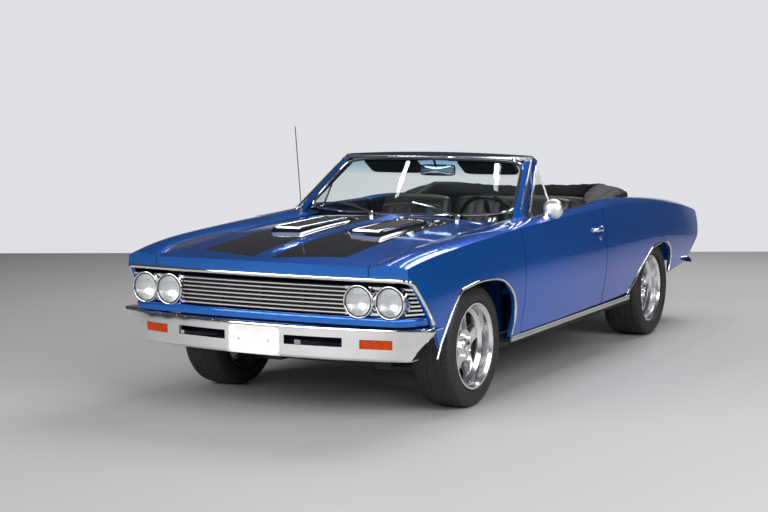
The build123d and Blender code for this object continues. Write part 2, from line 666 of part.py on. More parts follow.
def make_apron():
    """Painted panel under the grille, rolled over at its top and bent back at its ends to the fenders."""
    low, high, half = APRON_LOW_Z, APRON_HIGH_Z, APRON_HALF_WIDTH
    apron = lip_plan(APRON_INSET, low, high) - lip_plan(APRON_INSET + SKIN, low - 1, high + 1)
    apron = apron & block(-half, half, NOSE_Y, NOSE_Y + 200, low, high)
    apron = rounded_edge(apron.solids()[0], (0, LIP_Y + APRON_INSET, high), APRON_ROLL)
    y0, y2 = lip_y(half) + APRON_INSET, front_edge_y(low) + 10
    outer = [(half, y0), (838, NOSE_Y + 136), (866, y2)]
    inner = [(866 - SKIN, y2), (816, NOSE_Y + 148), (half, y0 + SKIN)]
    a, b, c, d, e, f = [Vector(x, y, low) for x, y in outer + inner]
    wire = Wire([arc(a, b, c), line(c, d), arc(d, e, f), line(f, a)])
    end = Solid.extrude(Face(wire), Vector(0, 0, high - low))
    end = rounded_edge(end, (838, NOSE_Y + 136, high), APRON_ROLL)
    return apron + end + mirrored(end)


def make_front_panel():
    """Radiator support with the radiator core and the painted apron under the grille."""
    y = NOSE_Y + 150
    support = block(-560, 560, y, y + 60, RAIL_TOP_Z, 790)
    core = block(-330, 330, y + 60, y + 120, RAIL_TOP_Z + 10, 780)
    panel = support + core + make_apron()
    for x in (-300, 300):
        panel = panel + block(x - 20, x + 20, LIP_Y + 24, y + 2, APRON_LOW_Z + 4, APRON_HIGH_Z - 4)
    for x in (-OUTER_LAMP_X, -INNER_LAMP_X, INNER_LAMP_X, OUTER_LAMP_X):
        panel = panel - rod((x, NOSE_Y, LAMP_Z), (x, NOSE_Y + 148, LAMP_Z), BEZEL_RADIUS + 2)
    return biggest(panel)


def grille_wing(z):
    """Short bar from the outer lamp's bezel back to the fender's leaning edge."""
    half = GRILLE_BAR_HEIGHT / 2
    x0, y0, y1 = GRILLE_HALF_WIDTH - 2, lip_y(GRILLE_HALF_WIDTH) + GRILLE_INSET, front_edge_y(z) - 3
    x1 = station_at(FENDER_STATIONS, y1).side_x - 12
    wing = outline_up([(x0, y0), (x1, y1), (x1 - 14, y1), (x0, y0 + GRILLE_BAR_DEPTH)], z - half, z + half)
    return biggest(wing - lamp_hole(OUTER_LAMP_X, lamp_y(OUTER_LAMP_X)))


def lamp_hole(x, y):
    """Room for a lamp and its bezel through the grille."""
    return rod((x, y - 60, LAMP_Z), (x, y + 90, LAMP_Z), BEZEL_RADIUS - 2)


def make_grille():
    """Thin level bars that wrap round to the fenders, lamp bezels and the uprights that tie them together."""
    pitch = (GRILLE_HIGH_Z - GRILLE_LOW_Z) / (GRILLE_BARS - 1)
    face, back = GRILLE_INSET, GRILLE_INSET + GRILLE_BAR_DEPTH
    reach = block(-GRILLE_HALF_WIDTH, GRILLE_HALF_WIDTH, NOSE_Y, NOSE_Y + 300, 500, 800)
    shell = lip_plan(back, 570, 712) - lip_plan(back + 6, 569, 713)
    for i in range(GRILLE_BARS):
        z = GRILLE_LOW_Z + i * pitch
        half = GRILLE_BAR_HEIGHT / 2 * (1.5 if i in (0, GRILLE_BARS - 1) else 1.0)
        shell = shell + (lip_plan(face, z - half, z + half) - lip_plan(back + 2, z - half - 1, z + half + 1))
    for x in (-656, -492, -250, 0, 250, 492, 656):
        post = lip_plan(face + 4, GRILLE_LOW_Z, GRILLE_HIGH_Z) - lip_plan(back + 2, 500, 800)
        shell = shell + (post & block(x - 6, x + 6, NOSE_Y, NOSE_Y + 300, 500, 800))
    shell = shell & reach
    lamps = [(side * x, lamp_y(x), length)
             for x, length in ((INNER_LAMP_X, 34), (OUTER_LAMP_X, 76)) for side in (-1, 1)]
    for x, y, _ in lamps:
        shell = shell - lamp_hole(x, y)
    for i in range(GRILLE_BARS):
        wing = grille_wing(GRILLE_LOW_Z + i * pitch)
        shell = shell + wing + mirrored(wing)
    for x, y, length in lamps:
        ring = rod((x, y - 6, LAMP_Z), (x, y + length, LAMP_Z), BEZEL_RADIUS)
        shell = shell + (ring - rod((x, y - 8, LAMP_Z), (x, y + length + 2, LAMP_Z), LAMP_RADIUS + SEAT_GAP))
    for x in (-250, 250):
        shell = shell + block(x - 10, x + 10, NOSE_Y + 90, NOSE_Y + 150, 628, 652)
    return biggest(shell)


def lamp_y(x):
    """Front of a lamp's bezel, following the bowed nose."""
    return lip_y(x) + LAMP_INSET


def make_headlamps():
    """Four round lamps, each a bulged glass on a short barrel."""
    lamps = []
    bulge, depth = 12.0, 44.0
    curve = (LAMP_RADIUS**2 + bulge**2) / (2 * bulge)
    for x in (-OUTER_LAMP_X, -INNER_LAMP_X, INNER_LAMP_X, OUTER_LAMP_X):
        y = lamp_y(x) + 4
        barrel = rod((x, y - bulge - 5, LAMP_Z), (x, y + depth, LAMP_Z), LAMP_RADIUS)
        dome = Solid.make_sphere(curve).moved(Location((x, y - bulge + curve, LAMP_Z)))
        lamps.append((barrel & dome).solids()[0])
    return Compound(lamps)


# Bumpers

def band_plan(front_y, end_x, end_y, depth, z0, z1):
    """Bowed bar seen from above: outer arc through the ends, inner arc moved by a depth."""
    toward = 1 if end_y > front_y else -1
    a, m, b = Vector(-end_x, end_y, z0), Vector(0, front_y, z0), Vector(end_x, end_y, z0)
    shift = Vector(0, toward * depth, 0)
    wire = Wire([arc(a, m, b), line(b, b + shift), arc(b + shift, m + shift, a + shift), line(a + shift, a)])
    return Solid.extrude(Face(wire), Vector(0, 0, z1 - z0))


def make_front_bumper():
    """Channel of bright sheet, with slots, lamp pockets, a flat plate seat and cut-back ends."""
    end_x, end_y = WIDTH / 2, NOSE_Y + 168
    low, high = FRONT_BUMPER_LOW_Z, FRONT_BUMPER_HIGH_Z
    sheet = BUMPER_SHEET
    bar = band_plan(NOSE_Y, end_x, end_y, BUMPER_DEPTH, low, high)
    bar = rounded_edge(rounded_edge(bar, (0, NOSE_Y, high), BUMPER_ROLL), (0, NOSE_Y, low), BUMPER_ROLL)
    inner = band_plan(NOSE_Y + sheet * 2, end_x + 60, end_y + sheet * 2 + 22, BUMPER_DEPTH,
                      low + sheet, high - sheet)
    bar = bar - inner
    seat = block(-160, 160, NOSE_Y + 2, NOSE_Y + 14, 346, 490)
    bar = bar + seat
    bar = bar - block(-160, 160, NOSE_Y - 20, NOSE_Y + 4, 346, 490)
    for side in (-1, 1):
        bar = bar - block(*sorted((side * 178, side * 493)), NOSE_Y - 50, NOSE_Y + 120, 410, 456)
        bar = bar - block(*sorted((side * 582, side * 746)), NOSE_Y - 50, NOSE_Y + 250, 405, 451)
        corner = [(side * 880, 330), (side * 960, 330), (side * 960, 500)]
        points = [Vector(x, NOSE_Y - 50, z) for x, z in corner]
        wire = Wire([line(p, q) for p, q in zip(points, points[1:] + points[:1])])
        bar = bar - Solid.extrude(Face(wire), Vector(0, 400, 0))
        x = side * PLATE_HOLE_SPACING / 2
        bar = bar - rod((x, NOSE_Y - 20, 420), (x, NOSE_Y + 40, 420), PLATE_HOLE_RADIUS)
        bar = bar + block(*sorted((side * 325, side * 370)), NOSE_Y + 28, RAIL_FRONT_Y, 352, 400)
    return biggest(bar)


def make_signal_lamps():
    """Amber signals set in the bumper's pockets."""
    lamps = []
    for side in (-1, 1):
        lens = band_plan(NOSE_Y + 6, WIDTH / 2, NOSE_Y + 174, 40, 405 + SEAT_GAP, 451 - SEAT_GAP)
        lens = lens & block(*sorted((side * (582 + SEAT_GAP), side * (746 - SEAT_GAP))),
                            NOSE_Y - 50, NOSE_Y + 300, 380, 480)
        lamps.append(lens.solids()[0])
    return Compound(lamps)


def make_rear_bumper():
    """Rear bar whose ends wrap under the quarters on a slant, with its stays to the frame."""
    bar = band_plan(TAIL_Y, REAR_BUMPER_END_X, REAR_BUMPER_END_Y, REAR_BUMPER_DEPTH,
                    REAR_BUMPER_LOW_Z, REAR_BUMPER_HIGH_Z)
    bar = rounded_edge(bar, (0, TAIL_Y, REAR_BUMPER_HIGH_Z), BUMPER_ROLL)
    inner = band_plan(TAIL_Y - 10, REAR_BUMPER_END_X + 60, REAR_BUMPER_END_Y - 44, REAR_BUMPER_DEPTH,
                      REAR_BUMPER_LOW_Z + BUMPER_SHEET, REAR_BUMPER_HIGH_Z - BUMPER_SHEET)
    bar = bar - inner
    (y0, z0), (y1, z1) = TAIL_SLANT
    above = [(y0, z0 - 8), (y1, z1 - 8), (y1 - 200, z1 - 8), (y1 - 200, 800), (y0, 800)]
    bar = bar - profile_along_x(outline_yz(above), -1000, 1000)
    for side in (-1, 1):
        arm = block(*sorted((side * 435, side * 475)), TAIL_Y - 190, TAIL_Y - 66, 440, 480)
        bar = bar + arm
    return biggest(bar)


# Wheels, drawn about the X axis at the middle of the tyre

def ring_of(profile, x, y, z):
    """Revolve a closed (axial, radius) outline about a cross axis."""
    points = [Vector(x + a, y, z + r) for a, r in profile]
    wire = Wire([line(p, q) for p, q in zip(points, points[1:] + points[:1])])
    return Solid.revolve(Face(wire), 360, Axis((x, y, z), (1, 0, 0)))


def make_tyre(x, y, width):
    """Low wide tyre, as a ring of narrow flats with one corner of the ring on the ground."""
    half, bead, r = width / 2, RIM_HALF_WIDTH - 16, TYRE_RADIUS
    side = [
        (bead, BEAD_RADIUS + SEAT_GAP), (bead, FLANGE_RADIUS + 6), (half, FLANGE_RADIUS + 38),
        (half - 14, r - 12), (half - 40, r),
    ]
    rings = []
    for a, radius in side + [(-a, radius) for a, radius in reversed(side)]:
        turns = [radians(360 * i / TYRE_SIDES) for i in range(TYRE_SIDES)]
        rings.append([Vector(x + a, y + radius * sin(t), AXLE_HEIGHT - radius * cos(t)) for t in turns])
    flats = []
    for near, far in zip(rings, rings[1:] + rings[:1]):
        for i in range(TYRE_SIDES):
            flats.append(Face(Wire.make_polygon([near[i - 1], near[i], far[i], far[i - 1]])))
    return Solid(Shell(flats))


def window_outline(x, y, grow):
    """Opening between two spokes: a narrow round end by the hub and a wide bowed end by the lip."""
    def at(radius, turn):
        return Vector(x, y + radius * sin(radians(turn)), AXLE_HEIGHT + radius * cos(radians(turn)))

    near, near_turn = 96 - grow * 0.6, 10 + grow * 0.5
    wide, turn = 184 + grow * 0.2, 22 + grow * 0.3
    return Wire([
        arc(at(near, -near_turn), at(near - 7, 0), at(near, near_turn)),
        line(at(near, near_turn), at(wide - 14, turn)),
        arc(at(wide - 14, turn), at(wide - 4, turn - 1.5), at(wide - 1, turn - 5)),
        arc(at(wide - 1, turn - 5), at(wide, 0), at(wide - 1, 5 - turn)),
        arc(at(wide - 1, 5 - turn), at(wide - 4, 1.5 - turn), at(wide - 14, -turn)),
        line(at(wide - 14, -turn), at(near, -near_turn)),
    ])


def make_rim(x, y):
    """Five-spoke rim with a deep lip, its brake drum and the bore that runs on the spindle."""
    h = RIM_HALF_WIDTH
    axis = Axis((x, y, AXLE_HEIGHT), (1, 0, 0))
    rim = ring_of([(-4, 0), (46, 0), (48, 84), (34, 192), (12, 192), (-4, 84)], x, y, AXLE_HEIGHT)
    outlines = [window_outline(x - 10, y, 0), window_outline(x + 60, y, SPOKE_FLARE)]
    window = Solid.make_loft(outlines, ruled=True)
    for i in range(SPOKES):
        rim = rim - window.rotate(axis, 360 / SPOKES * (i + 0.5))
    barrel = [
        (-h, FLANGE_RADIUS), (16 - h, FLANGE_RADIUS), (16 - h, BEAD_RADIUS), (-50, BEAD_RADIUS - 2),
        (-34, 196), (34, 196), (50, BEAD_RADIUS - 2), (h - 16, BEAD_RADIUS), (h - 16, FLANGE_RADIUS),
        (h, FLANGE_RADIUS), (h, FLANGE_RADIUS - 10), (h - 14, 207), (54, 205), (38, 187), (-38, 187),
        (-54, 206), (-h, FLANGE_RADIUS - 14),
    ]
    hub = [(40, 0), (58, 0), (58, 30), (54, 34), (40, 36)]
    drum = [
        (-14, DRUM_RADIUS - 12), (-14, DRUM_RADIUS), (8, DRUM_RADIUS),
        (8, 30), (-4, 30), (-4, DRUM_RADIUS - 12),
    ]
    for profile in (barrel, hub, drum):
        rim = rim + ring_of(profile, x, y, AXLE_HEIGHT)
    bore = rod((x - 60, y, AXLE_HEIGHT), (x + 34, y, AXLE_HEIGHT), SPINDLE_RADIUS + SPINDLE_CLEARANCE)
    return biggest(rim - bore)


# Running gear

def make_knuckle():
    """Left steering knuckle: column on the ball joints, spindle, backing plate and steering arm."""
    y, z, x = FRONT_AXLE_Y, AXLE_HEIGHT, KINGPIN_X
    column = rod((x, y, z - BALL_RISE + SEAT_GAP), (x, y, z + BALL_RISE - SEAT_GAP), COLUMN_RADIUS)
    spindle = rod((x, y, z), (FRONT_WHEEL_X + 33, y, z), SPINDLE_RADIUS)
    plate = rod((x + 12, y, z), (FRONT_WHEEL_X - HUB_INSET, y, z), DRUM_RADIUS - 28)
    hub = rod((x - 26, y, z), (x, y, z), 34)
    arm = block(x - 16, x + 16, y, y + 150, z - 66, z - 44)
    return (column + spindle + plate + hub + arm).solids()[0]


def make_front_suspension():
    """Cross member, upper and lower arms with their ball pads, and the spring towers' coils."""
    y, z = FRONT_AXLE_Y, AXLE_HEIGHT
    low, high = z - BALL_RISE, z + BALL_RISE
    shape = block(-330, 330, y - 60, y + 60, low - 22, low + 40)
    for side in (-1, 1):
        pad_x = side * KINGPIN_X
        shape = shape + rod((pad_x, y, low - 20), (pad_x, y, low), 24)
        shape = shape + rod((pad_x, y, high), (pad_x, y, high + 20), 24)
        for reach in (-110, 110):
            for level in (low - 22, high):
                inner_x, inner_y = side * 390, y + reach
                corners = [(pad_x, y - 18), (pad_x, y + 18), (inner_x, inner_y + 18), (inner_x, inner_y - 18)]
                if side < 0:
                    corners.reverse()
                shape = shape + outline_up(corners, level, level + 18)
        shape = shape + block(*sorted((side * 300, side * 400)), y - 130, y + 130, low - 22, low + 20)
        shape = shape + rod((side * 440, y, low - 4), (side * 440, y, high + 10), 50)
        shape = shape + block(*sorted((side * RAIL_OUTER_X, side * 400)), y - 130, y + 130, low, high + 18)
    return biggest(shape)


def make_rear_axle():
    """Rear axle housing with its spindles, and the propeller shaft ahead of it."""
    y, z = REAR_AXLE_Y, AXLE_HEIGHT
    inner = REAR_WHEEL_X - HUB_INSET
    shape = rod((-inner, y, z), (inner, y, z), 40)
    shape = shape + rod((-REAR_WHEEL_X - 33, y, z), (REAR_WHEEL_X + 33, y, z), SPINDLE_RADIUS)
    for side in (-1, 1):
        shape = shape + rod((side * (inner - 8), y, z), (side * inner, y, z), DRUM_RADIUS - 14)
    shape = shape + Solid.make_sphere(120).moved(Location((0, y + 10, z)))
    shaft = rod((0, y - 125, z), (0, GEARBOX_REAR_Y + 2, z + 10), 38)
    shape = shape + shaft + rod((0, y, z), (0, y - 150, z), 46)
    return biggest(shape)


def make_engine():
    """Plain engine block with its gearbox."""
    block_body = block(-290, 290, ENGINE_FRONT_Y, ENGINE_REAR_Y, 420, 780)
    sump = block(-130, 130, ENGINE_FRONT_Y + 60, ENGINE_REAR_Y, 262, 420)
    box = rod((0, ENGINE_REAR_Y, GEARBOX_FRONT_Z), (0, GEARBOX_REAR_Y, GEARBOX_REAR_Z), GEARBOX_RADIUS)
    engine = block_body + sump + box
    for side in (-1, 1):
        foot = block(*sorted((side * 280, side * 350)), FRONT_AXLE_Y + 160, FRONT_AXLE_Y + 240,
            RAIL_TOP_Z, RAIL_TOP_Z + 30)
        engine = engine + foot
    return biggest(engine)


# Chassis


def make_frame():
    """Perimeter frame: side rails with a dip between the axles, joined by cross members."""
    frame = None
    for side in (-1, 1):
        wires = []
        for rail in RAIL_PATH:
            half = RAIL_WIDTH / 2
            corners = [(rail.x - half, rail.z), (rail.x + half, rail.z),
                       (rail.x + half, rail.z + RAIL_HEIGHT), (rail.x - half, rail.z + RAIL_HEIGHT)]
            points = [Vector(side * x, rail.y, z) for x, z in corners]
            wires.append(Wire([line(p, q) for p, q in zip(points, points[1:] + points[:1])]))
        rails = Solid.make_loft(wires, ruled=True)
        frame = rails if frame is None else frame + rails
    for _, y, reach, z, height in CROSS_MEMBERS:
        member = block(-reach, reach, y - 40, y + 40, z, z + height)
        frame = frame + member
    frame = frame - rod((0, ENGINE_REAR_Y, GEARBOX_FRONT_Z), (0, GEARBOX_REAR_Y, GEARBOX_REAR_Z),
                        GEARBOX_RADIUS + SEAT_GAP)
    frame = frame - rod((0, GEARBOX_REAR_Y, GEARBOX_REAR_Z), (0, REAR_AXLE_Y, AXLE_HEIGHT), 60)
    return biggest(frame)


def make_floor():
    """Floor with toe board, tunnel and sills, rising to the trunk floor between the wheel tubs."""
    t = FLOOR_THICKNESS
    top = [
        (FIREWALL_Y + 20, 560), (FIREWALL_Y + 220, FLOOR_TOP_Z), (SEAT_PAN_Y, FLOOR_TOP_Z),
        (TRUNK_STEP_Y, TRUNK_FLOOR_Z), (TAIL_PANEL_Y - 30, TRUNK_FLOOR_Z),
    ]
    low = [
        (TAIL_PANEL_Y - 30, TRUNK_FLOOR_Z - t), (TRUNK_STEP_Y + 8, TRUNK_FLOOR_Z - t),
        (SEAT_PAN_Y + 8, FLOOR_TOP_Z - t), (FIREWALL_Y + 210, FLOOR_TOP_Z - t), (FIREWALL_Y + 20, 528),
    ]
    floor = profile_along_x(outline_yz(top + low), -SILL_INNER_X - 5, SILL_INNER_X + 5)
    for side in (-1, 1):
        floor = floor - block(*sorted((side * TUB_INNER_X, side * 900)), TRUNK_STEP_Y + 40, TAIL_Y, 400, 700)
    inner = TUNNEL_HALF_WIDTH - TUNNEL_WALL
    tunnel_y0, tunnel_y1 = FIREWALL_Y + 20, TRUNK_STEP_Y - 20
    hollow = block(-inner, inner, tunnel_y0 - 1, tunnel_y1 + 1, 200, TUNNEL_TOP_Z - TUNNEL_WALL)
    tunnel = block(-TUNNEL_HALF_WIDTH, TUNNEL_HALF_WIDTH, tunnel_y0, tunnel_y1, FLOOR_TOP_Z - t, TUNNEL_TOP_Z)
    tunnel = tunnel - hollow
    room = TUNNEL_HALF_WIDTH + SEAT_GAP
    floor = floor - block(-room, room, tunnel_y0 - 1, tunnel_y1 + SEAT_GAP, 200, TUNNEL_TOP_Z + 100)
    sill_y0, sill_y1 = FRONT_AXLE_Y + 360, REAR_AXLE_Y - 640
    sill = outline_yz([(sill_y0, 300), (sill_y1, 300), (sill_y1, 352), (sill_y0, 322)])
    for side in (-1, 1):
        floor = floor + profile_along_x(sill, *sorted((side * SILL_INNER_X, side * SILL_OUTER_X)))
    return Compound([biggest(floor), biggest(tunnel)])


def make_cowl():
    """Firewall, the posts that carry the door hinges, and the cowl panel under the windscreen."""
    post_z = station_at(FENDER_STATIONS, DOOR_FRONT_Y).deck_z - SKIN
    cowl = block(-PILLAR_POST_X, PILLAR_POST_X, FIREWALL_Y, FIREWALL_Y + 20, 330, post_z - 30)
    for side in (-1, 1):
        post = block(*sorted((side * 690, side * PILLAR_POST_X)), FIREWALL_Y - 70, FIREWALL_Y + 20, 330,
            post_z)
        cowl = cowl + post
        for z in DOOR_HINGE_ZS:
            strap = outline_up(
                [(side * (PILLAR_POST_X - 10), FIREWALL_Y - 40), (side * DOOR_HINGE_X, DOOR_HINGE_Y - 8),
                 (side * DOOR_HINGE_X, DOOR_HINGE_Y + 6), (side * (PILLAR_POST_X - 10), FIREWALL_Y + 10)],
                z - HINGE_HEIGHT / 2, z + HINGE_HEIGHT / 2)
            eye = rod((side * DOOR_HINGE_X, DOOR_HINGE_Y, z - HINGE_HEIGHT / 2),
                      (side * DOOR_HINGE_X, DOOR_HINGE_Y, z + HINGE_HEIGHT / 2), HINGE_EYE_RADIUS)
            bore = rod((side * DOOR_HINGE_X, DOOR_HINGE_Y, z - 60),
                       (side * DOOR_HINGE_X, DOOR_HINGE_Y, z + 60), HINGE_PIN_RADIUS + PIN_CLEARANCE)
            cowl = cowl + ((strap + eye) - bore)
    cowl = cowl - block(-TUNNEL_HALF_WIDTH, TUNNEL_HALF_WIDTH, FIREWALL_Y - 90, FIREWALL_Y + 90, 300, 515)
    x = FENDER_EDGE_X
    panel_wires = []
    for y, rise in ((COWL_FRONT_Y, 0), (SCREEN_FOOT_Y + 30, 6)):
        a, m, b = Vector(-x, y, 922 + rise), Vector(0, y, 944 + rise), Vector(x, y, 922 + rise)
        drop = Vector(0, 0, -16)
        panel_wires.append(
            Wire([arc(a, m, b), line(b, b + drop), arc(b + drop, m + drop, a + drop), line(a + drop, a)]))
    panel = Solid.make_loft(panel_wires, ruled=True)
    panel = panel - screen_slab(-0.4, 1.0, 200, -8, 400)
    leg_y = COWL_FRONT_Y + 4
    legs = [block(sx - 20, sx + 20, leg_y, leg_y + 20, post_z - 40, 926) for sx in (-500, 500)]
    shelf = block(-PILLAR_POST_X, PILLAR_POST_X, FIREWALL_Y, COWL_FRONT_Y + 24, post_z - 44, post_z - 30)
    cowl = cowl + shelf + panel
    for leg in legs:
        cowl = cowl + leg
    return biggest(cowl)


def make_inner_fenders():
    """Aprons between the engine bay and the front wheels, with a roof over each tyre."""
    aprons = []
    for side in (-1, 1):
        wall = block(*sorted((side * 412, side * 426)), FRONT_AXLE_Y - 520, FIREWALL_Y, 412, 800)
        roof = block(*sorted((side * 412, side * 830)), FRONT_AXLE_Y - 380, FRONT_AXLE_Y + 390, 700, 712)
        wall = wall - block(-900, 900, FRONT_AXLE_Y - 150, FRONT_AXLE_Y + 150, 400, 490)
        shelf = block(*sorted((side * 350, side * 426)), FRONT_AXLE_Y - 520, FRONT_AXLE_Y - 150,
            RAIL_TOP_Z, RAIL_TOP_Z + 12)
        aprons.append((wall + roof + shelf).solids()[0])
    return aprons


# Tail

def make_tail_panel():
    """Panel between the quarters under the trunk lid, with the deck strip behind the top's well."""
    y = TAIL_PANEL_Y
    panel = block(-LID_EDGE_X, LID_EDGE_X, y - 30, y, 612, 764)
    return biggest(panel + block(-420, 420, y - 30, y, TRUNK_FLOOR_Z - FLOOR_THICKNESS, 620))


def make_deck_strip():
    """Painted strip between the folded top and the trunk lid."""
    y1, y0 = LID_FRONT_Y - DECK_GAP, LID_FRONT_Y - 70
    return lid_loft(LID_CROWNS, LID_EDGE_X + 30, 20, y0, y1, 2)


def make_tail_lamps():
    """Two wide lenses with rounded faces on the tail panel."""
    lamps = []
    for side in (-1, 1):
        lens = block(*sorted((side * 440, side * 660)), TAIL_PANEL_Y, TAIL_PANEL_Y + 22, 632, 742)
        lamps.append(lens.fillet(14, lens.faces().sort_by(Axis.Y)[-1].edges()))
    return Compound(lamps)


# Cabin

def rounded_block(x0, x1, y0, y1, z0, z1, radius):
    body = block(x0, x1, y0, y1, z0, z1)
    return fillet(body.edges(), radius)


def make_seats():
    """Two bucket seats and the rear bench, as cushions with leaning backs."""
    seats = []
    for side in (-1, 1):
        x0, x1 = side * SEAT_X - SEAT_HALF_WIDTH, side * SEAT_X + SEAT_HALF_WIDTH
        cushion = rounded_block(x0, x1, FRONT_SEAT_Y0, FRONT_SEAT_Y1, CUSHION_LOW_Z, CUSHION_TOP_Z, 45)
        base = block(x0 + 60, x1 - 60, FRONT_SEAT_Y0 + 60, FRONT_SEAT_Y1 - 60, FLOOR_TOP_Z,
            CUSHION_LOW_Z + 20)
        back = rounded_block(x0, x1, 0, 140, 0, BACK_TOP_Z - CUSHION_LOW_Z - 20, 45)
        back = back.rotate(Axis((0, 0, 0), (1, 0, 0)), -16)
        back = back.moved(Location((0, FRONT_SEAT_Y1 - 120, CUSHION_LOW_Z + 60)))
        seats.append((cushion + base + back).solids()[0])
    y0 = DOOR_REAR_Y + 210
    cushion = rounded_block(-530, 530, y0, y0 + 480, TUNNEL_TOP_Z, TUNNEL_TOP_Z + 110, 40)
    back = rounded_block(-530, 530, 0, 120, 0, 440, 40)
    back = back.rotate(Axis((0, 0, 0), (1, 0, 0)), -14).moved(Location((0, y0 + 440, TUNNEL_TOP_Z + 40)))
    seats.append((cushion + back).solids()[0])
    return seats


def make_dashboard():
    """Dashboard shelf with its padded brow, instrument face and the steering column."""
    x = 745.0
    y0, y1 = FIREWALL_Y + 20, DASH_REAR_Y
    outline = [(y0, 700), (y1 - 40, 690), (y1, 740), (y1 - 20, 860), (y1 + 14, 890), (y1, 912),
               (y1 - 60, 918), (SCREEN_FOOT_Y - 25, 905), (SCREEN_FOOT_Y - 25, 846), (y0, 846)]
    dash = profile_along_x(outline_yz(outline), -x, x)
    dash = dash - block(-PILLAR_POST_X, PILLAR_POST_X, FIREWALL_Y - 90, FIREWALL_Y + 60, 300, 1000)
    for side in (-1, 1):
        dash = dash - block(*sorted((side * 632, side * 900)), FIREWALL_Y, y1 + 100, 884, 1000)
    dash = dash + block(-680, 680, FIREWALL_Y + 20, FIREWALL_Y + 62, 720, 840)
    for x in (SEAT_X - 165, SEAT_X, SEAT_X + 165):
        dash = dash - rod((x, y1 - 40, 800), (x, y1 + 40, 800), 58)
    direction = Vector(0, cos(radians(COLUMN_TILT)), sin(radians(COLUMN_TILT)))
    end = Vector(SEAT_X, STEER_WHEEL_Y, STEER_WHEEL_Z)
    start = end - direction * 330
    column = rod(start, end - direction * 40, 30)
    tip = rod(start, end - direction * SEAT_GAP, COLUMN_ROD_RADIUS)
    return biggest(dash + column + tip)


def make_steering_wheel():
    """Thin-rimmed wheel with three spokes on the column's end."""
    direction = Vector(0, cos(radians(COLUMN_TILT)), sin(radians(COLUMN_TILT)))
    centre = Vector(SEAT_X, STEER_WHEEL_Y, STEER_WHEEL_Z)
    plane = Plane(centre, x_dir=(1, 0, 0), z_dir=direction)
    hub = Solid.make_cylinder(46, 56) - Solid.make_cylinder(COLUMN_ROD_RADIUS + PIN_CLEARANCE, 34)
    wheel = hub.moved(Location((0, 0, -34)))
    for angle in (0, 180, 270):
        spoke = block(40, STEER_WHEEL_RADIUS, -14, 14, -6, 6)
        wheel = wheel + spoke.rotate(Axis.Z, angle)
    wheel = wheel + Solid.make_torus(STEER_WHEEL_RADIUS, 14)
    return biggest(wheel).moved(plane.location)


def make_folded_top():
    """Folded roof under its cover: a soft U round the back of the rear seat."""
    wires = []
    for y, half, edge_z, top_z in (
        (TOP_FRONT_Y, 735, 1008, 1085), (TOP_FRONT_Y + 170, 752, 1018, 1136),
        (TOP_FRONT_Y + 400, 738, 1002, 1092), (TOP_REAR_Y, 695, 974, 1000),
    ):
        a, m, b = Vector(-half, y, edge_z), Vector(0, y, top_z + 14), Vector(half, y, edge_z)
        c, d = Vector(half, y, TOP_LOW_Z), Vector(-half, y, TOP_LOW_Z)
        wires.append(Wire([arc(a, m, b), line(b, c), line(c, d), line(d, a)]))
    cover = Solid.make_loft(wires)
    return cover - block(-WELL_HALF_WIDTH, WELL_HALF_WIDTH, TOP_FRONT_Y - 10, WELL_REAR_Y, 900, 1200)


# Underside


def make_exhaust():
    """Two pipes with their silencers, hung from the floor."""
    pipes = []
    for side in (-1, 1):
        x = side * 300
        pipe = rod((x, FRONT_AXLE_Y + 420, EXHAUST_Z), (x, TAIL_Y - 120, EXHAUST_Z), 27)
        can = rod((x, SEAT_PAN_Y - 720, EXHAUST_Z), (x, SEAT_PAN_Y - 150, EXHAUST_Z), 60)
        hanger = block(x - 15, x + 15, SEAT_PAN_Y - 400, SEAT_PAN_Y - 370, EXHAUST_Z,
            FLOOR_TOP_Z - FLOOR_THICKNESS)
        pipes.append((pipe + can + hanger).solids()[0])
    return pipes


def make_fuel_tank():
    top = TRUNK_FLOOR_Z - FLOOR_THICKNESS
    return rounded_block(-240, 240, REAR_AXLE_Y + 260, TAIL_Y - 300, top - 200, top, 18)


# Small pieces that show

def make_wipers():
    """Two blades lying at the foot of the windscreen, each on its arm."""
    wipers = []
    for x0, x1 in ((-560, -120), (60, 500)):
        pivot = rod((x1, COWL_FRONT_Y + 22, 900), (x1, COWL_FRONT_Y + 22, 962), 10)
        arm = rod((x1, COWL_FRONT_Y + 22, 957), (x0, COWL_FRONT_Y + 30, 962), 5)
        wipers.append((pivot + arm).solids()[0])
    return wipers


def make_antenna():
    x, y, z = -700.0, SCREEN_FOOT_Y - 60, station_at(FENDER_STATIONS, DOOR_FRONT_Y).ridge_z
    base = rod((x, y, z - 30), (x, y, z + 24), 14)
    mast = rod((x, y, z + 20), (x, y - 66, 1474), 3)
    return base + mast


def make_mirror():
    """Round mirror on a short stalk on the driver's door."""
    y = DOOR_FRONT_Y + 490
    z = 1000.0
    x = 876.0
    cup = rod((x, y - 26, z), (x, y + 4, z), 55)
    stalk = rod((x, y - 12, z - 20), (x - 6, y - 60, z - 72), 11)
    foot = rod((x - 8, y - 66, 900), (x - 8, y - 66, z - 48), 24)
    return cup + stalk + foot


# Assembly

def lid_pin(x0, x1, y, z, radius):
    return rod((x0, y, z), (x1, y, z), radius)


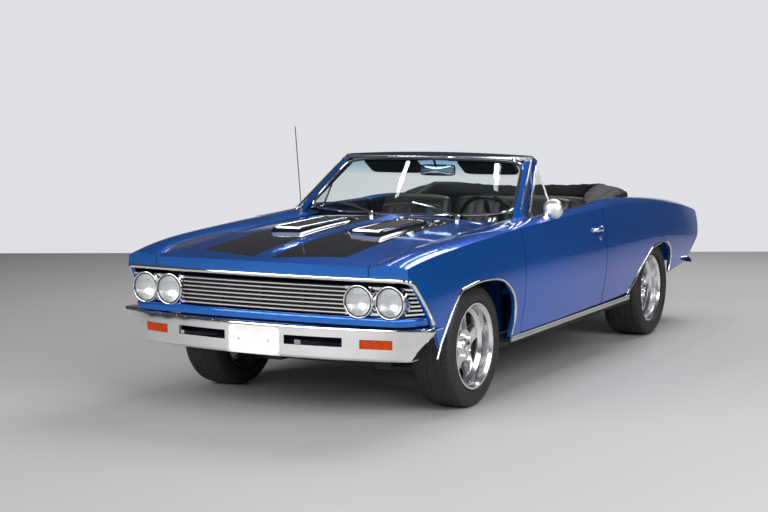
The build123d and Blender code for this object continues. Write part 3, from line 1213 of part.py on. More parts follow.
def build():
    """All pieces by node name."""
    nodes = {}
    hood_pin_y = HOOD_REAR_Y - LID_PIN_INSET
    hood_pin_z = crown_at(HOOD_CROWNS, hood_pin_y).edge_z - LID_PIN_DROP
    lid_pin_y = LID_FRONT_Y + LID_PIN_INSET
    lid_pin_z = crown_at(LID_CROWNS, lid_pin_y).edge_z - LID_PIN_DROP

    fender = make_fender() + lid_pin(FENDER_EDGE_X + 4, HOOD_HALF_WIDTH - 26, hood_pin_y, hood_pin_z,
        LID_PIN_RADIUS)
    fender = biggest(fender)
    quarter = make_quarter() + lid_pin(LID_EDGE_X + 40, LID_HALF_WIDTH - 26, lid_pin_y, lid_pin_z,
        LID_PIN_RADIUS)
    quarter = biggest(quarter)

    hood, lid = make_hood(), make_trunk_lid()
    for side in (-1, 1):
        free = LID_PIN_RADIUS + PIN_CLEARANCE
        hood = hood - lid_pin(side * 1000, side * (HOOD_HALF_WIDTH - 27), hood_pin_y, hood_pin_z, free)
        lid = lid - lid_pin(side * 1000, side * (LID_HALF_WIDTH - 27), lid_pin_y, lid_pin_z, free)
    nodes["hood"], nodes["trunk_lid"] = biggest(hood), biggest(lid)

    door = make_door()
    vent = make_vent_window()
    door = door - vent_prism(SEAT_GAP, VENT_FRAME + 2 * SEAT_GAP)[0]
    for z in DOOR_HINGE_ZS:
        half = HINGE_HEIGHT / 2 + 10
        pocket = block(DOOR_INNER_X - 1, DOOR_HINGE_X + HINGE_EYE_RADIUS + 1, DOOR_FRONT_Y - 1,
                       DOOR_HINGE_Y + HINGE_EYE_RADIUS + 5, z - half, z + half)
        pin = rod((DOOR_HINGE_X, DOOR_HINGE_Y, z - half - 5), (DOOR_HINGE_X, DOOR_HINGE_Y, z + half + 5),
            HINGE_PIN_RADIUS)
        door = (door - pocket) + pin
    door = biggest(door)
    side_mirror = biggest(make_mirror() - door)
    nodes["door_left"], nodes["door_right"] = door, mirrored(door)
    nodes["vent_window_left"], nodes["vent_window_right"] = vent, mirrored(vent)
    nodes["door_mirror"] = side_mirror

    antenna = make_antenna()
    right_fender = mirrored(fender)
    nodes["fender_left"] = fender
    nodes["fender_right"] = right_fender
    nodes["antenna"] = biggest(antenna - right_fender)
    nodes["quarter_left"], nodes["quarter_right"] = quarter, mirrored(quarter)

    cowl = make_cowl()
    screen_frame = make_screen_frame() - fender - right_fender - cowl
    nodes["cowl"] = cowl
    nodes["screen_frame"] = biggest(screen_frame)
    nodes["windscreen"] = biggest(make_screen_glass() - cowl)
    nodes["wipers"] = Compound([biggest(w - cowl) for w in make_wipers()])

    nodes["front_panel"] = biggest(make_front_panel() - fender - right_fender)
    nodes["grille"] = make_grille()
    nodes["headlamps"] = make_headlamps()
    nodes["front_bumper"] = make_front_bumper()
    nodes["signal_lamps"] = make_signal_lamps()
    nodes["inner_fenders"] = Compound(make_inner_fenders())
    nodes["tail_panel"] = make_tail_panel()
    nodes["deck_strip"] = biggest(make_deck_strip() - quarter - nodes["quarter_right"])
    nodes["tail_lamps"] = make_tail_lamps()
    nodes["rear_bumper"] = make_rear_bumper()

    nodes["frame"] = make_frame()
    nodes["floor"] = make_floor()
    nodes["engine"] = make_engine()
    nodes["front_suspension"] = make_front_suspension()
    nodes["rear_axle"] = make_rear_axle()
    nodes["exhaust"] = Compound(make_exhaust())
    nodes["fuel_tank"] = make_fuel_tank()
    nodes["seats"] = Compound(make_seats())
    nodes["dashboard"] = make_dashboard()
    nodes["steering_wheel"] = make_steering_wheel()
    nodes["folded_top"] = biggest(make_folded_top() - quarter - nodes["quarter_right"])

    knuckle = make_knuckle()
    nodes["knuckle_left"], nodes["knuckle_right"] = knuckle, mirrored(knuckle)
    for end, x, y, width in (
        ("front", FRONT_WHEEL_X, FRONT_AXLE_Y, FRONT_TYRE_WIDTH),
        ("rear", REAR_WHEEL_X, REAR_AXLE_Y, REAR_TYRE_WIDTH),
    ):
        rim, tyre = make_rim(x, y), make_tyre(x, y, width)
        nodes["rim_" + end + "_left"], nodes["rim_" + end + "_right"] = rim, mirrored(rim)
        nodes["tyre_" + end + "_left"], nodes["tyre_" + end + "_right"] = tyre, mirrored(tyre)
    return nodes


os.makedirs("parts", exist_ok=True)
for name, shape in build().items():
    export_step(shape, "parts/" + name + ".step")
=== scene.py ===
"""Looks of an open two-door muscle car of the middle sixties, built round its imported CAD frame.

Metres; +X is the car's left, +Y its rear, +Z up, and the ground is at zero.
"""
import json
from functools import reduce
from math import cos, pi, radians, sin

import bmesh
import bpy
import numpy as np
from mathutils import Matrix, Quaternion, Vector


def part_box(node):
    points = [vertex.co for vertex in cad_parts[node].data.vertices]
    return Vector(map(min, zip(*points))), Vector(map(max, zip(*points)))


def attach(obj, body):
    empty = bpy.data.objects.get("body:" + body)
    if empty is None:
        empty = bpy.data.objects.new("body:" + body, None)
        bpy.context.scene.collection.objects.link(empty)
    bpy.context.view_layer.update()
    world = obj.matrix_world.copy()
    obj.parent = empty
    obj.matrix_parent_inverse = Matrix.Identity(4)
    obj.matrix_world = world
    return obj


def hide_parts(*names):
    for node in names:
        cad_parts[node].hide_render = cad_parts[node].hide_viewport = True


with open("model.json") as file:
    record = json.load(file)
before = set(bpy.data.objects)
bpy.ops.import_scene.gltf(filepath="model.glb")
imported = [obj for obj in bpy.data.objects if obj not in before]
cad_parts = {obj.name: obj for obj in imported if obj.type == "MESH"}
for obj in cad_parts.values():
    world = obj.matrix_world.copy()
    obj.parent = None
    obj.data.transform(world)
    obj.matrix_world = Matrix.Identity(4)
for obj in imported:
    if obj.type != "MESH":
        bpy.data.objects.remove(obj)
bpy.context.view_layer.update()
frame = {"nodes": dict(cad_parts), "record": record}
nodes = frame["nodes"]

# Sizes taken from the frame
FRONT_AXLE_Y = sum(c[1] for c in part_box("tyre_front_left")) / 2
REAR_AXLE_Y = sum(c[1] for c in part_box("tyre_rear_left")) / 2
NOSE_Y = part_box("front_bumper")[0][1]
BUMPER_TOP_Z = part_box("front_bumper")[1][2]

OUT, UP = np.array([1.0, 0, 0]), np.array([0, 0, 1.0])
SIDES = ("left", "right")


# Shapes as arrays

def grid(rows, cols, close_rows=False, close_cols=False):
    """Quads of a grid of points: each joins a point to the next in its row and to two in the next row."""
    r, c = np.meshgrid(
        np.arange(rows if close_rows else rows - 1), np.arange(cols if close_cols else cols - 1),
        indexing="ij",
    )
    below, right = (r + 1) % rows, (c + 1) % cols
    corners = [r * cols + c, r * cols + right, below * cols + right, below * cols + c]
    return np.stack(corners, -1).reshape(-1, 4)


def capped(rings):
    """Tube of rings: quads between neighbouring rings and one face over each end ring."""
    rows, cols = rings.shape[:2]
    first, last = list(range(cols)), list(range((rows - 1) * cols, rows * cols))
    return rings.reshape(-1, 3), grid(rows, cols, False, True).tolist() + [first[::-1], last]


def joined(*parts):
    """Points from their coordinates, single numbers spread over all of them."""
    return np.stack(np.broadcast_arrays(*parts), -1)


def unit(vectors):
    """The same vectors with length one."""
    return vectors / np.linalg.norm(vectors, axis=-1, keepdims=True)


def spaced(path, count):
    """The same path with its points evenly spaced by length."""
    run = np.r_[0, np.cumsum(np.linalg.norm(np.diff(path, axis=0), axis=1))]
    even = np.linspace(0, run[-1], count)
    return joined(*(np.interp(even, run, column) for column in path.T))


def curve_through(points, count):
    """Smooth curve: cubic pieces through the points, with slopes from their neighbours, evenly spaced."""
    p = np.asarray(points, float)
    t = np.r_[0, np.cumsum(np.linalg.norm(np.diff(p, axis=0), axis=1))]
    slope = np.gradient(p, t, axis=0)
    fine = np.linspace(0, t[-1], 40 * len(p))
    i = np.clip(np.searchsorted(t, fine) - 1, 0, len(p) - 2)
    h = (t[i + 1] - t[i])[:, None]
    s = ((fine - t[i]) / h[:, 0])[:, None]
    curve = (
        p[i] * (2 * s**3 - 3 * s**2 + 1) + slope[i] * h * (s**3 - 2 * s**2 + s)
        + p[i + 1] * (3 * s**2 - 2 * s**3) + slope[i + 1] * h * (s**3 - s**2)
    )
    return spaced(curve, count)


def carry(path, profile, out, closed=False):
    """Profile carried along a path: its first number goes along out, its second across out and the path."""
    path, profile = np.asarray(path, float), np.asarray(profile, float)
    ahead = unit(np.roll(path, -1, 0) - np.roll(path, 1, 0) if closed else np.gradient(path, axis=0))
    out = np.broadcast_to(np.asarray(out, float), path.shape)
    out = unit(out - ahead * np.sum(out * ahead, 1, keepdims=True))
    across = np.cross(ahead, out)
    rings = path[:, None] + out[:, None] * profile[None, :, :1] + across[:, None] * profile[None, :, 1:]
    if closed:
        return rings.reshape(-1, 3), grid(*rings.shape[:2], True, True).tolist()
    return capped(rings)


def turned(profile, centre, axis, count, half=(1.0, 1.0), square=2.0, loop=False):
    """Outline of (along the axis, radius) turned about an axis. Half stretches the round, a square over two
    gives it straight sides with round corners, and a loop is an outline that closes on itself."""
    profile = np.asarray(profile, float)
    axis = unit(np.asarray(axis, float))
    side = unit(np.cross(axis, UP if abs(axis[2]) < 0.9 else OUT))
    up = np.cross(side, axis)
    angle = np.linspace(0, 2 * pi, count, endpoint=False)[:, None, None]
    c, s = np.cos(angle), np.sin(angle)
    swell = (np.abs(c) ** square + np.abs(s) ** square) ** (-1 / square)
    along, radius = profile[None, :, :1], profile[None, :, 1:] * swell
    points = centre + axis * along + (side * c * half[0] + up * s * half[1]) * radius
    return points.reshape(-1, 3), grid(count, len(profile), True, loop).tolist()


def oval(half_height, half_width, count=12):
    """Oval outline."""
    angle = np.linspace(0, 2 * pi, count, endpoint=False)
    return joined(half_height * np.cos(angle), half_width * np.sin(angle))


def shouldered(count):
    """Round with straight sides and round corners: the two-ninths powers of an angle's cosine and sine."""
    angle = np.linspace(0, 2 * pi, count)
    return (np.sign(w) * np.abs(w) ** (2 / 9) for w in (np.cos(angle), np.sin(angle)))


def moulding(half_width, height, sunk=0.004, count=9):
    """Half-round outline: half an ellipse standing on a base that is sunk in what carries it."""
    angle = np.linspace(0, pi, count)
    top = joined(height * np.sin(angle), -half_width * np.cos(angle))
    return np.r_[top, [[-sunk, half_width], [-sunk, -half_width]]]


def pillow(half, pleats=0, pleat_depth=0.0, rim=6.0, count=(56, 56)):
    """Stuffed form: two sheets over a square that meet at its rim, their height falling to it as a high
    power; the upper one has pleats, sunk as the inverse of a rounded wave across the inner part."""
    s, t = (np.sin(np.linspace(-pi / 2, pi / 2, n)) for n in count)
    s, t = np.meshgrid(s, t, indexing="ij")
    edge = np.maximum(np.abs(s), np.abs(t))
    corner = 1 - 0.06 * (s * t) ** 4
    height = ((1 - np.abs(s) ** rim) * (1 - np.abs(t) ** rim)) ** 0.42
    crown = 0.86 + 0.14 * np.cos(s * pi / 2) * np.cos(t * pi / 2)
    inner = np.clip((0.78 - edge) / 0.06, 0, 1)
    seam = 1 - np.abs(np.sin(s * pi * pleats / 2)) ** 0.35 if pleats else 0 * s
    border = np.exp(-((edge - 0.8) / 0.02) ** 2)
    sunk = pleat_depth * (seam * inner + 0.8 * border)
    x, y = half[0] * s * corner, half[1] * t * corner
    upper = joined(x, y, half[2] * height * crown - sunk * height).reshape(-1, 3)
    lower = joined(x, y, -half[2] * height).reshape(-1, 3)
    faces = grid(*count)
    return np.r_[upper, lower], np.r_[faces, faces[:, ::-1] + len(upper)].tolist()


def other_side(shape):
    """The same shape on the car's other side."""
    points, faces = shape
    return points * (-1, 1, 1), [list(f)[::-1] for f in faces]


def both_sides(*shapes):
    """Each shape and its image on the car's other side."""
    return [s for shape in shapes for s in (shape, other_side(shape))]


def on_side(side, *shapes):
    """The shapes as they are on the left, or their images on the right."""
    return list(shapes) if side == "left" else [other_side(shape) for shape in shapes]


def mesh_of(name):
    """Points and triangles of a CAD node."""
    mesh = nodes[name].data
    mesh.calc_loop_triangles()
    index = np.empty(3 * len(mesh.loop_triangles), int)
    mesh.loop_triangles.foreach_get("vertices", index)
    place = np.empty(3 * len(mesh.vertices))
    mesh.vertices.foreach_get("co", place)
    return place.reshape(-1, 3), index.reshape(-1, 3)


def lay_on(node, axis, u, v):
    """Where lines along one axis meet a CAD node: the farthest crossing, from the share of each line's foot
    in every triangle seen along that axis. A line that misses takes its neighbours' value."""
    points, triangles = mesh_of(node)
    a, b, c = points[triangles].transpose(1, 0, 2)
    i, j = [k for k in range(3) if k != axis]
    foot_u, foot_v = np.asarray(u, float)[:, None], np.asarray(v, float)[:, None]
    bu, bv = b[:, i] - a[:, i], b[:, j] - a[:, j]
    cu, cv = c[:, i] - a[:, i], c[:, j] - a[:, j]
    area = bu * cv - bv * cu
    area = np.where(np.abs(area) < 1e-12, np.inf, area)
    pu, pv = foot_u - a[:, i], foot_v - a[:, j]
    share_b, share_c = (pu * cv - pv * cu) / area, (bu * pv - bv * pu) / area
    inside = (share_b >= -1e-6) & (share_c >= -1e-6) & (share_b + share_c <= 1 + 1e-6) & np.isfinite(area)
    depth = a[:, axis] + share_b * (b[:, axis] - a[:, axis]) + share_c * (c[:, axis] - a[:, axis])
    best = np.where(inside, depth, -np.inf).max(1)
    hit = np.isfinite(best)
    order = np.arange(len(best))
    return np.interp(order, order[hit], best[hit])


def add_piece(name, shapes, material, body, replaces=(), sharp=35):
    """One object from several shapes, its seams merged and its faces turned outwards, riding on a body."""
    points, faces, base = [], [], 0
    for shape_points, shape_faces in shapes:
        points.append(shape_points)
        faces += [[i + base for i in f] for f in shape_faces]
        base += len(shape_points)
    mesh = bpy.data.meshes.new(name)
    mesh.from_pydata(np.concatenate(points).tolist(), [], faces)
    work = bmesh.new()
    work.from_mesh(mesh)
    bmesh.ops.remove_doubles(work, verts=work.verts, dist=2e-5)
    bmesh.ops.recalc_face_normals(work, faces=work.faces)
    work.to_mesh(mesh)
    work.free()
    mesh.shade_smooth()
    mesh.set_sharp_from_angle(angle=radians(sharp))
    piece = bpy.data.objects.new(name, mesh)
    bpy.context.scene.collection.objects.link(piece)
    mesh.materials.append(material)
    if body:
        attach(piece, body)
    if replaces:
        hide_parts(*replaces)
    return piece


def bright(name, shapes, body="body", replaces=()):
    """A chromed piece."""
    return add_piece(name, shapes, CHROME, body, replaces)


def black(name, shapes, body="body"):
    """A piece in black trim."""
    return add_piece(name, shapes, TRIM, body)


# Materials

def add(tree, kind, settings=None, inputs=None):
    """A shader node with its settings, its inputs given as numbers or as other nodes' outputs."""
    new = tree.nodes.new("ShaderNode" + kind)
    for key, value in (settings or {}).items():
        setattr(new, key, value)
    for key, value in (inputs or {}).items():
        if isinstance(value, bpy.types.NodeSocket):
            tree.links.new(value, new.inputs[key])
        else:
            new.inputs[key].default_value = value
    return new


def place_of(tree, stretch=None):
    """Object coordinates, stretched if the pattern runs along one way."""
    place = add(tree, "TexCoord").outputs["Object"]
    if stretch:
        place = add(tree, "Mapping", None, {"Vector": place, "Scale": stretch}).outputs[0]
    return place


def span(value, low, high, source=(0.0, 1.0)):
    """A value carried from one range to another."""
    ends = {"Value": value, "From Min": source[0], "From Max": source[1], "To Min": low, "To Max": high}
    return add(value.id_data, "MapRange", None, ends).outputs[0]


def tones(share, dark, light):
    """A colour between two tones."""
    ends = {0: share, 6: (*dark, 1), 7: (*light, 1)}
    return add(share.id_data, "Mix", {"data_type": "RGBA"}, ends).outputs[2]


def calc(operation, a, b=0.0):
    """One step of arithmetic, in the tree that the first value comes from."""
    return add(a.id_data, "Math", {"operation": operation}, {0: a, 1: b}).outputs[0]


def clouds(place, grain, detail=5.0):
    """Noise of that grain, and the same with its middle range spread from zero to one."""
    inputs = {"Vector": place, "Scale": grain, "Detail": detail}
    noise = add(place.id_data, "TexNoise", None, inputs).outputs[0]
    return noise, span(noise, 0.0, 1.0, (0.3, 0.7))


def finish(name, dark, light, grain, rough, bump=0.0, stretch=None, sockets=None, detail=5.0):
    """A surface whose colour, roughness and bump run on a noise over the object's own coordinates."""
    material = bpy.data.materials.new(name)
    material.use_nodes = True
    tree = material.node_tree
    shader = tree.nodes["Principled BSDF"]
    noise, spread = clouds(place_of(tree, stretch), grain, detail)
    tree.links.new(tones(spread, dark, light), shader.inputs["Base Color"])
    tree.links.new(span(spread, *rough), shader.inputs["Roughness"])
    if bump:
        raised = add(tree, "Bump", None, {"Height": noise, "Strength": bump, "Distance": 0.002})
        tree.links.new(raised.outputs[0], shader.inputs["Normal"])
    for key, value in (sockets or {}).items():
        shader.inputs[key].default_value = value
    return material


def masked(material, mask_of, dark, light, grain, rough, metallic=0.0, coat=0.0):
    """A second finish on the same surface where a mask, worked out from the object's own coordinates and
    normals, is one."""
    tree = material.node_tree
    shader = tree.nodes["Principled BSDF"]
    spot = add(tree, "TexCoord").outputs
    ways = [add(tree, "SeparateXYZ", None, {0: spot[way]}).outputs for way in ("Object", "Normal")]
    mask = mask_of(*ways)
    _, spread = clouds(spot["Object"], grain)
    ground = shader.inputs["Base Color"].links[0].from_socket
    colours = {0: mask, 6: ground, 7: tones(spread, dark, light)}
    mixed = add(tree, "Mix", {"data_type": "RGBA"}, colours)
    tree.links.new(mixed.outputs[2], shader.inputs["Base Color"])
    second = {"Roughness": span(spread, *rough), "Metallic": metallic, "Coat Weight": coat}
    for key, value in second.items():
        socket = shader.inputs[key]
        before = socket.links[0].from_socket if socket.links else socket.default_value
        tree.links.new(add(tree, "Mix", None, {0: mask, 2: before, 3: value}).outputs[0], socket)
    return material


def over(value, edge, soft=0.001):
    """One above an edge and zero below it, with a soft step."""
    return span(value, 0.0, 1.0, (edge - soft, edge + soft))


def under(value, edge, soft=0.001):
    """One below an edge and zero above it, with a soft step."""
    return span(value, 1.0, 0.0, (edge - soft, edge + soft))


def all_of(*masks):
    """Where every mask is one: their product."""
    return reduce(lambda a, b: calc("MULTIPLY", a, b), masks)


def any_of(*masks):
    """Where some mask is one: the largest of them."""
    return reduce(lambda a, b: calc("MAXIMUM", a, b), masks)


def off_middle(place):
    """Distance from the car's middle."""
    return calc("ABSOLUTE", place[0])


def behind_bow(place, front_y, bow):
    """Distance behind a face that a parabola bows across the car."""
    bowed = calc("MULTIPLY", calc("POWER", off_middle(place), 2.0), bow)
    return calc("SUBTRACT", calc("SUBTRACT", place[1], bowed), front_y)


# Where one finish gives way to another
STRIPE_INNER_X, STRIPE_OUTER_X = 0.055, 0.435
STRIPE_FRONT_Y, STRIPE_SWEEP = -2.434, 0.29
NOSE_LIP_Y, NOSE_BOW, NOSE_HALF = -2.482, 0.056, 0.829
GRILLE_DARK_DEPTH, GRILLE_HALF, GRILLE_LAMPS_X = 0.0508, 0.800, 0.488
GRILLE_LOW_Z, GRILLE_PITCH, GRILLE_LINE = 0.576, 0.128 / 6, 0.0028
HEADER_LOW_Z, HEADER_TOP_Z = 1.262, 1.288
VISOR_REACH_X, VISOR_FRONT_Y, VISOR_TOP_Z = 0.53, -0.457, 1.2692
APRON_BACK_Y, SUPPORT_HALF = -2.365, 0.600
BUMPER_BOW, BRACKET_DEPTH, BRACKET_ZS = 0.165, 0.036, (0.360, 0.496)
WHEEL_CENTRE, SPOKE_REACH = (0.425, -0.557, 0.880), 0.176
RIM_DEEP, TINT_ZS = 0.010, (1.165, 1.285)


def stripe_mask(place, normal):
    """Two bands along the hood's upper side, left and right of its middle ridge, with a swept front edge."""
    across = off_middle(place)
    swept = calc("SUBTRACT", place[1], calc("MULTIPLY", across, STRIPE_SWEEP))
    return all_of(
        over(across, STRIPE_INNER_X), under(across, STRIPE_OUTER_X),
        over(swept, STRIPE_FRONT_Y), over(normal[2], -0.5, 0.05),
    )


def inner_mask(place, normal):
    """Faces that look towards the car's middle."""
    return under(calc("MULTIPLY", place[0], normal[0]), -0.25, 0.02)


def rear_mask(place, normal):
    """Faces that look to the rear, everything at the visors, and the head's upper edge under its seal."""
    visors = all_of(
        under(off_middle(place), VISOR_REACH_X), over(place[1], VISOR_FRONT_Y),
        under(place[2], VISOR_TOP_Z, 0.0005),
    )
    return any_of(visors, over(normal[1], 0.5, 0.02), over(place[2], HEADER_TOP_Z))


def header_mask(place, normal):
    """The windscreen's head."""
    return over(place[2], HEADER_LOW_Z)


def grille_mask(place, normal):
    """What lies behind the bars, deeper than their faces from the nose's bow, and the bars' own upper and
    lower halves away from their middle lines, by a triangle wave up the grille."""
    across = off_middle(place)
    depth = behind_bow(place, NOSE_LIP_Y, NOSE_BOW / NOSE_HALF**2)
    off_line = calc("PINGPONG", calc("SUBTRACT", place[2], GRILLE_LOW_Z), GRILLE_PITCH / 2)
    between = all_of(over(off_line, GRILLE_LINE, 0.0004), under(across, GRILLE_LAMPS_X))
    deep = over(depth, GRILLE_DARK_DEPTH, 0.001)
    return all_of(any_of(deep, between), under(across, GRILLE_HALF))


def bracket_mask(place, normal):
    """What lies behind the bumper's bowed face, between its upper and lower flanges: its brackets, seen
    through the slots."""
    return all_of(
        over(behind_bow(place, NOSE_Y, BUMPER_BOW), BRACKET_DEPTH, 0.002),
        under(off_middle(place), SUPPORT_HALF),
        over(place[2], BRACKET_ZS[0]), under(place[2], BRACKET_ZS[1]),
    )


def support_mask(place, normal):
    """The radiator and its support, behind the painted apron."""
    return all_of(over(place[1], APRON_BACK_Y), under(off_middle(place), SUPPORT_HALF))


def spoke_mask(place, normal):
    """The steering wheel's hub and spokes: nearer to its middle than the rim."""
    x, y, z = (calc("POWER", calc("SUBTRACT", place[i], WHEEL_CENTRE[i]), 2.0) for i in range(3))
    return under(calc("ADD", calc("ADD", x, y), z), SPOKE_REACH**2, 0.0005)


def rim_shade_mask(centre_x):
    """The wheel's inside, nearer to the car's middle than the spokes' backs, where a near-black painted shade
    stands for the dark of the wheel's depths.
    """
    def mask(place, normal):
        return under(off_middle(place), centre_x + RIM_DEEP, 0.002)
    return mask


def tint_mask(place, normal):
    """The windscreen's upper edge, fading downwards."""
    return span(place[2], 0.0, 1.0, TINT_ZS)


PAINT_TONES = ((0.002, 0.105, 0.450), (0.003, 0.125, 0.520))
BLACKS = ((0.006, 0.006, 0.007), (0.014, 0.014, 0.015))
BRIGHTS = ((0.80, 0.81, 0.82), (0.92, 0.92, 0.93))
ALLOYS = ((0.78, 0.79, 0.80), (0.92, 0.92, 0.93))
# Near-black painted shade for the wheels' deep insides, seen between the spokes
RIM_SHADE_TONES = ((0.010, 0.010, 0.011), (0.040, 0.039, 0.038))
GLASSES = ((0.86, 0.93, 0.92), (0.93, 0.97, 0.96))
AMBERS = ((0.40, 0.034, 0.001), (0.50, 0.052, 0.002))
COVERS = ((0.005, 0.005, 0.006), (0.012, 0.012, 0.013))
PAINT_SOCKETS = {
    "Metallic": 0.55, "Coat Weight": 1.0, "Coat Roughness": 0.045, "Specular Tint": (0.05, 0.25, 1.0, 1.0),
}
METAL = {"Metallic": 1.0}
CLEAR = {"Transmission Weight": 1.0, "IOR": 1.45}


def paint(name):
    """Blue metallic paint: fine flakes, small cells that tilt the surface a little, under smooth lacquer."""
    material = finish(name, *PAINT_TONES, 1.5, (0.25, 0.29), sockets=PAINT_SOCKETS, detail=0.0)
    tree = material.node_tree
    cells = add(tree, "TexVoronoi", None, {"Vector": place_of(tree), "Scale": 900.0})
    height = {"Height": cells.outputs["Distance"], "Strength": 0.04, "Distance": 0.0004}
    raised = add(tree, "Bump", None, height).outputs[0]
    tree.links.new(raised, tree.nodes["Principled BSDF"].inputs["Normal"])
    return material


def glass(name):
    """Clear glass with a breath of green."""
    return finish(name, *GLASSES, 2.0, (0.0, 0.01), sockets=CLEAR)


BLUE_PAINT = paint("blue_paint")
PANEL_PAINT = masked(paint("panel_paint"), inner_mask, *BLACKS, 120.0, (0.45, 0.65))
HOOD_PAINT = masked(paint("hood_paint"), stripe_mask, *BLACKS, 6.0, (0.03, 0.06), 0.0, 1.0)
SUPPORT_PAINT = masked(paint("front_panel_paint"), support_mask, *BLACKS, 40.0, (0.40, 0.60))
PILLAR_PAINT = masked(
    masked(paint("pillar_paint"), header_mask, *BRIGHTS, 5.0, (0.20, 0.28), 1.0),
    rear_mask, *BLACKS, 90.0, (0.42, 0.60),
)
CHROME = finish("chrome", *BRIGHTS, 5.0, (0.03, 0.08), sockets=METAL)
BUMPER_CHROME = masked(
    finish("bumper_chrome", *BRIGHTS, 5.0, (0.04, 0.09), sockets=METAL),
    bracket_mask, *BLACKS, 40.0, (0.40, 0.60),
)
SHELL_CHROME = finish("mirror_shell_chrome", *BRIGHTS, 20.0, (0.36, 0.46), sockets=METAL)
AERIAL = finish("aerial_steel", (0.16, 0.16, 0.17), (0.26, 0.26, 0.27), 30.0, (0.30, 0.42), sockets=METAL)
BARS = masked(
    finish("grille_bars", *BRIGHTS, 25.0, (0.08, 0.18), sockets=METAL), grille_mask, *BLACKS, 30.0, (0.5, 0.7)
)
BRUSHED = finish(
    "brushed_trim", (0.48, 0.49, 0.50), (0.72, 0.73, 0.74), 60.0, (0.22, 0.38), 0.05, (1, 0.03, 1), METAL
)
MIRROR = finish(
    "mirror_bowl", (0.92, 0.93, 0.94), (0.98, 0.98, 0.98), 30.0, (0.28, 0.40), sockets={"Metallic": 0.5}
)
CLEAR_GLASS = glass("clear_glass")
SCREEN_GLASS = masked(
    glass("screen_glass"), tint_mask, (0.10, 0.34, 0.62), (0.14, 0.40, 0.68), 2.0, (0.0, 0.01)
)
LAMP_GLASS = finish("lamp_glass", (0.92, 0.94, 0.95), (1.0, 1.0, 1.0), 30.0, (0.01, 0.05), sockets=CLEAR)
AMBER = finish("amber_lens", *AMBERS, 40.0, (0.16, 0.26), 0.10, sockets={"Specular IOR Level": 0.2})
RED_LENS = finish("red_lens", (0.30, 0.006, 0.008), (0.55, 0.012, 0.012), 40.0, (0.08, 0.18), 0.10)
RUBBER = finish("tyre_rubber", (0.010, 0.010, 0.010), (0.028, 0.027, 0.026), 40.0, (0.50, 0.75), 0.25)
STEEL = finish("black_steel", (0.010, 0.010, 0.011), (0.035, 0.035, 0.036), 30.0, (0.40, 0.65), 0.20)
PIPE = finish(
    "exhaust_steel", (0.22, 0.20, 0.18), (0.42, 0.40, 0.38), 25.0, (0.30, 0.50), 0.10, sockets=METAL
)
CARPET = finish("carpet", (0.006, 0.006, 0.007), (0.022, 0.022, 0.024), 400.0, (0.85, 1.0), 0.60)
VINYL = finish("black_vinyl", (0.010, 0.010, 0.011), (0.026, 0.026, 0.028), 180.0, (0.34, 0.50), 0.30)
COVER = finish("cover_vinyl", *COVERS, 240.0, (0.52, 0.68), 0.35, sockets={"Specular IOR Level": 0.3})
TRIM = finish("black_trim", (0.008, 0.008, 0.009), (0.022, 0.022, 0.024), 90.0, (0.42, 0.60), 0.15)
WHEEL_TRIM = masked(
    finish("steering_wheel_trim", *BLACKS, 60.0, (0.25, 0.40), 0.05),
    spoke_mask, *BRIGHTS, 20.0, (0.10, 0.20), 1.0,
)
PLATE_WHITE = finish("plate_white", (0.90, 0.90, 0.90), (0.96, 0.96, 0.96), 20.0, (0.28, 0.40), 0.03)
FLOOR_PALE = finish(
    "studio_floor", (0.43, 0.425, 0.42), (0.46, 0.455, 0.45), 0.3, (0.50, 0.56), detail=0.0
)

SLOT_FINISH = {
    "paint": BLUE_PAINT, "bright": CHROME, "glass": CLEAR_GLASS, "lamp_glass": LAMP_GLASS, "amber": AMBER,
    "red_lens": RED_LENS, "tyre": RUBBER, "alloy": CHROME, "black_steel": STEEL, "exhaust_steel": PIPE,
    "floor_black": CARPET, "black_vinyl": VINYL, "black_trim": TRIM,
}
NODE_FINISH = {
    "hood": HOOD_PAINT, "front_panel": SUPPORT_PAINT, "screen_frame": PILLAR_PAINT, "grille": BARS,
    "windscreen": SCREEN_GLASS, "steering_wheel": WHEEL_TRIM, "antenna": AERIAL,
}
RIM_CENTRES = {"front": 0.724, "rear": 0.698}
for end, centre_x in RIM_CENTRES.items():
    alloy = finish("polished_alloy_" + end, *ALLOYS, 14.0, (0.14, 0.24), sockets=METAL, detail=1.0)
    # The rim's deep inside is painted near black: painted shade, not the alloy's own colour
    masked(alloy, rim_shade_mask(centre_x), *RIM_SHADE_TONES, 30.0, (0.45, 0.65))
    NODE_FINISH.update({"rim_" + end + "_" + side: alloy for side in SIDES})
for panel in ("door_", "fender_", "quarter_"):
    NODE_FINISH.update({panel + side: PANEL_PAINT for side in SIDES})
for row in frame["record"]["subparts"]:
    materials = nodes[row["node"]].data.materials
    materials.clear()
    materials.append(NODE_FINISH.get(row["node"], SLOT_FINISH[row["material_slot"]]))


# Outside trim
FORWARD = (0, -1, 0)
LIP_OFFSET = 0.007
NOSE_STRIP_Z, NOSE_STRIP_HALF, NOSE_TURN_RUN = 0.751, 0.806, 0.040
NOSE_CORNER = [(0.832, -2.421, 0.748), (0.847, -2.405, 0.742)]
EDGE_TOP_Y, EDGE_TOP_Z, EDGE_START_Z, EDGE_FOOT_Z = -2.402, 0.742, 0.728, 0.522
EDGE_LEAN, EDGE_INSET = 0.75, 0.010
ROCKER_FRONT_Y, ROCKER_REAR_Y = FRONT_AXLE_Y + 0.362, REAR_AXLE_Y - 0.645

# Wheel arch edges as (from the axle along Y, height), from the front end over the wheel to the rear end
FRONT_ARCH = [
    (-0.530, 0.335), (-0.352, 0.596), (-0.288, 0.650), (-0.208, 0.664), (0.0, 0.678), (0.192, 0.654),
    (0.322, 0.560), (0.366, 0.450), (0.346, 0.345),
]
REAR_ARCH = [
    (-0.665, 0.352), (-0.354, 0.550), (-0.215, 0.620), (-0.039, 0.640), (0.181, 0.622), (0.289, 0.532),
    (0.303, 0.470), (0.285, 0.425),
]

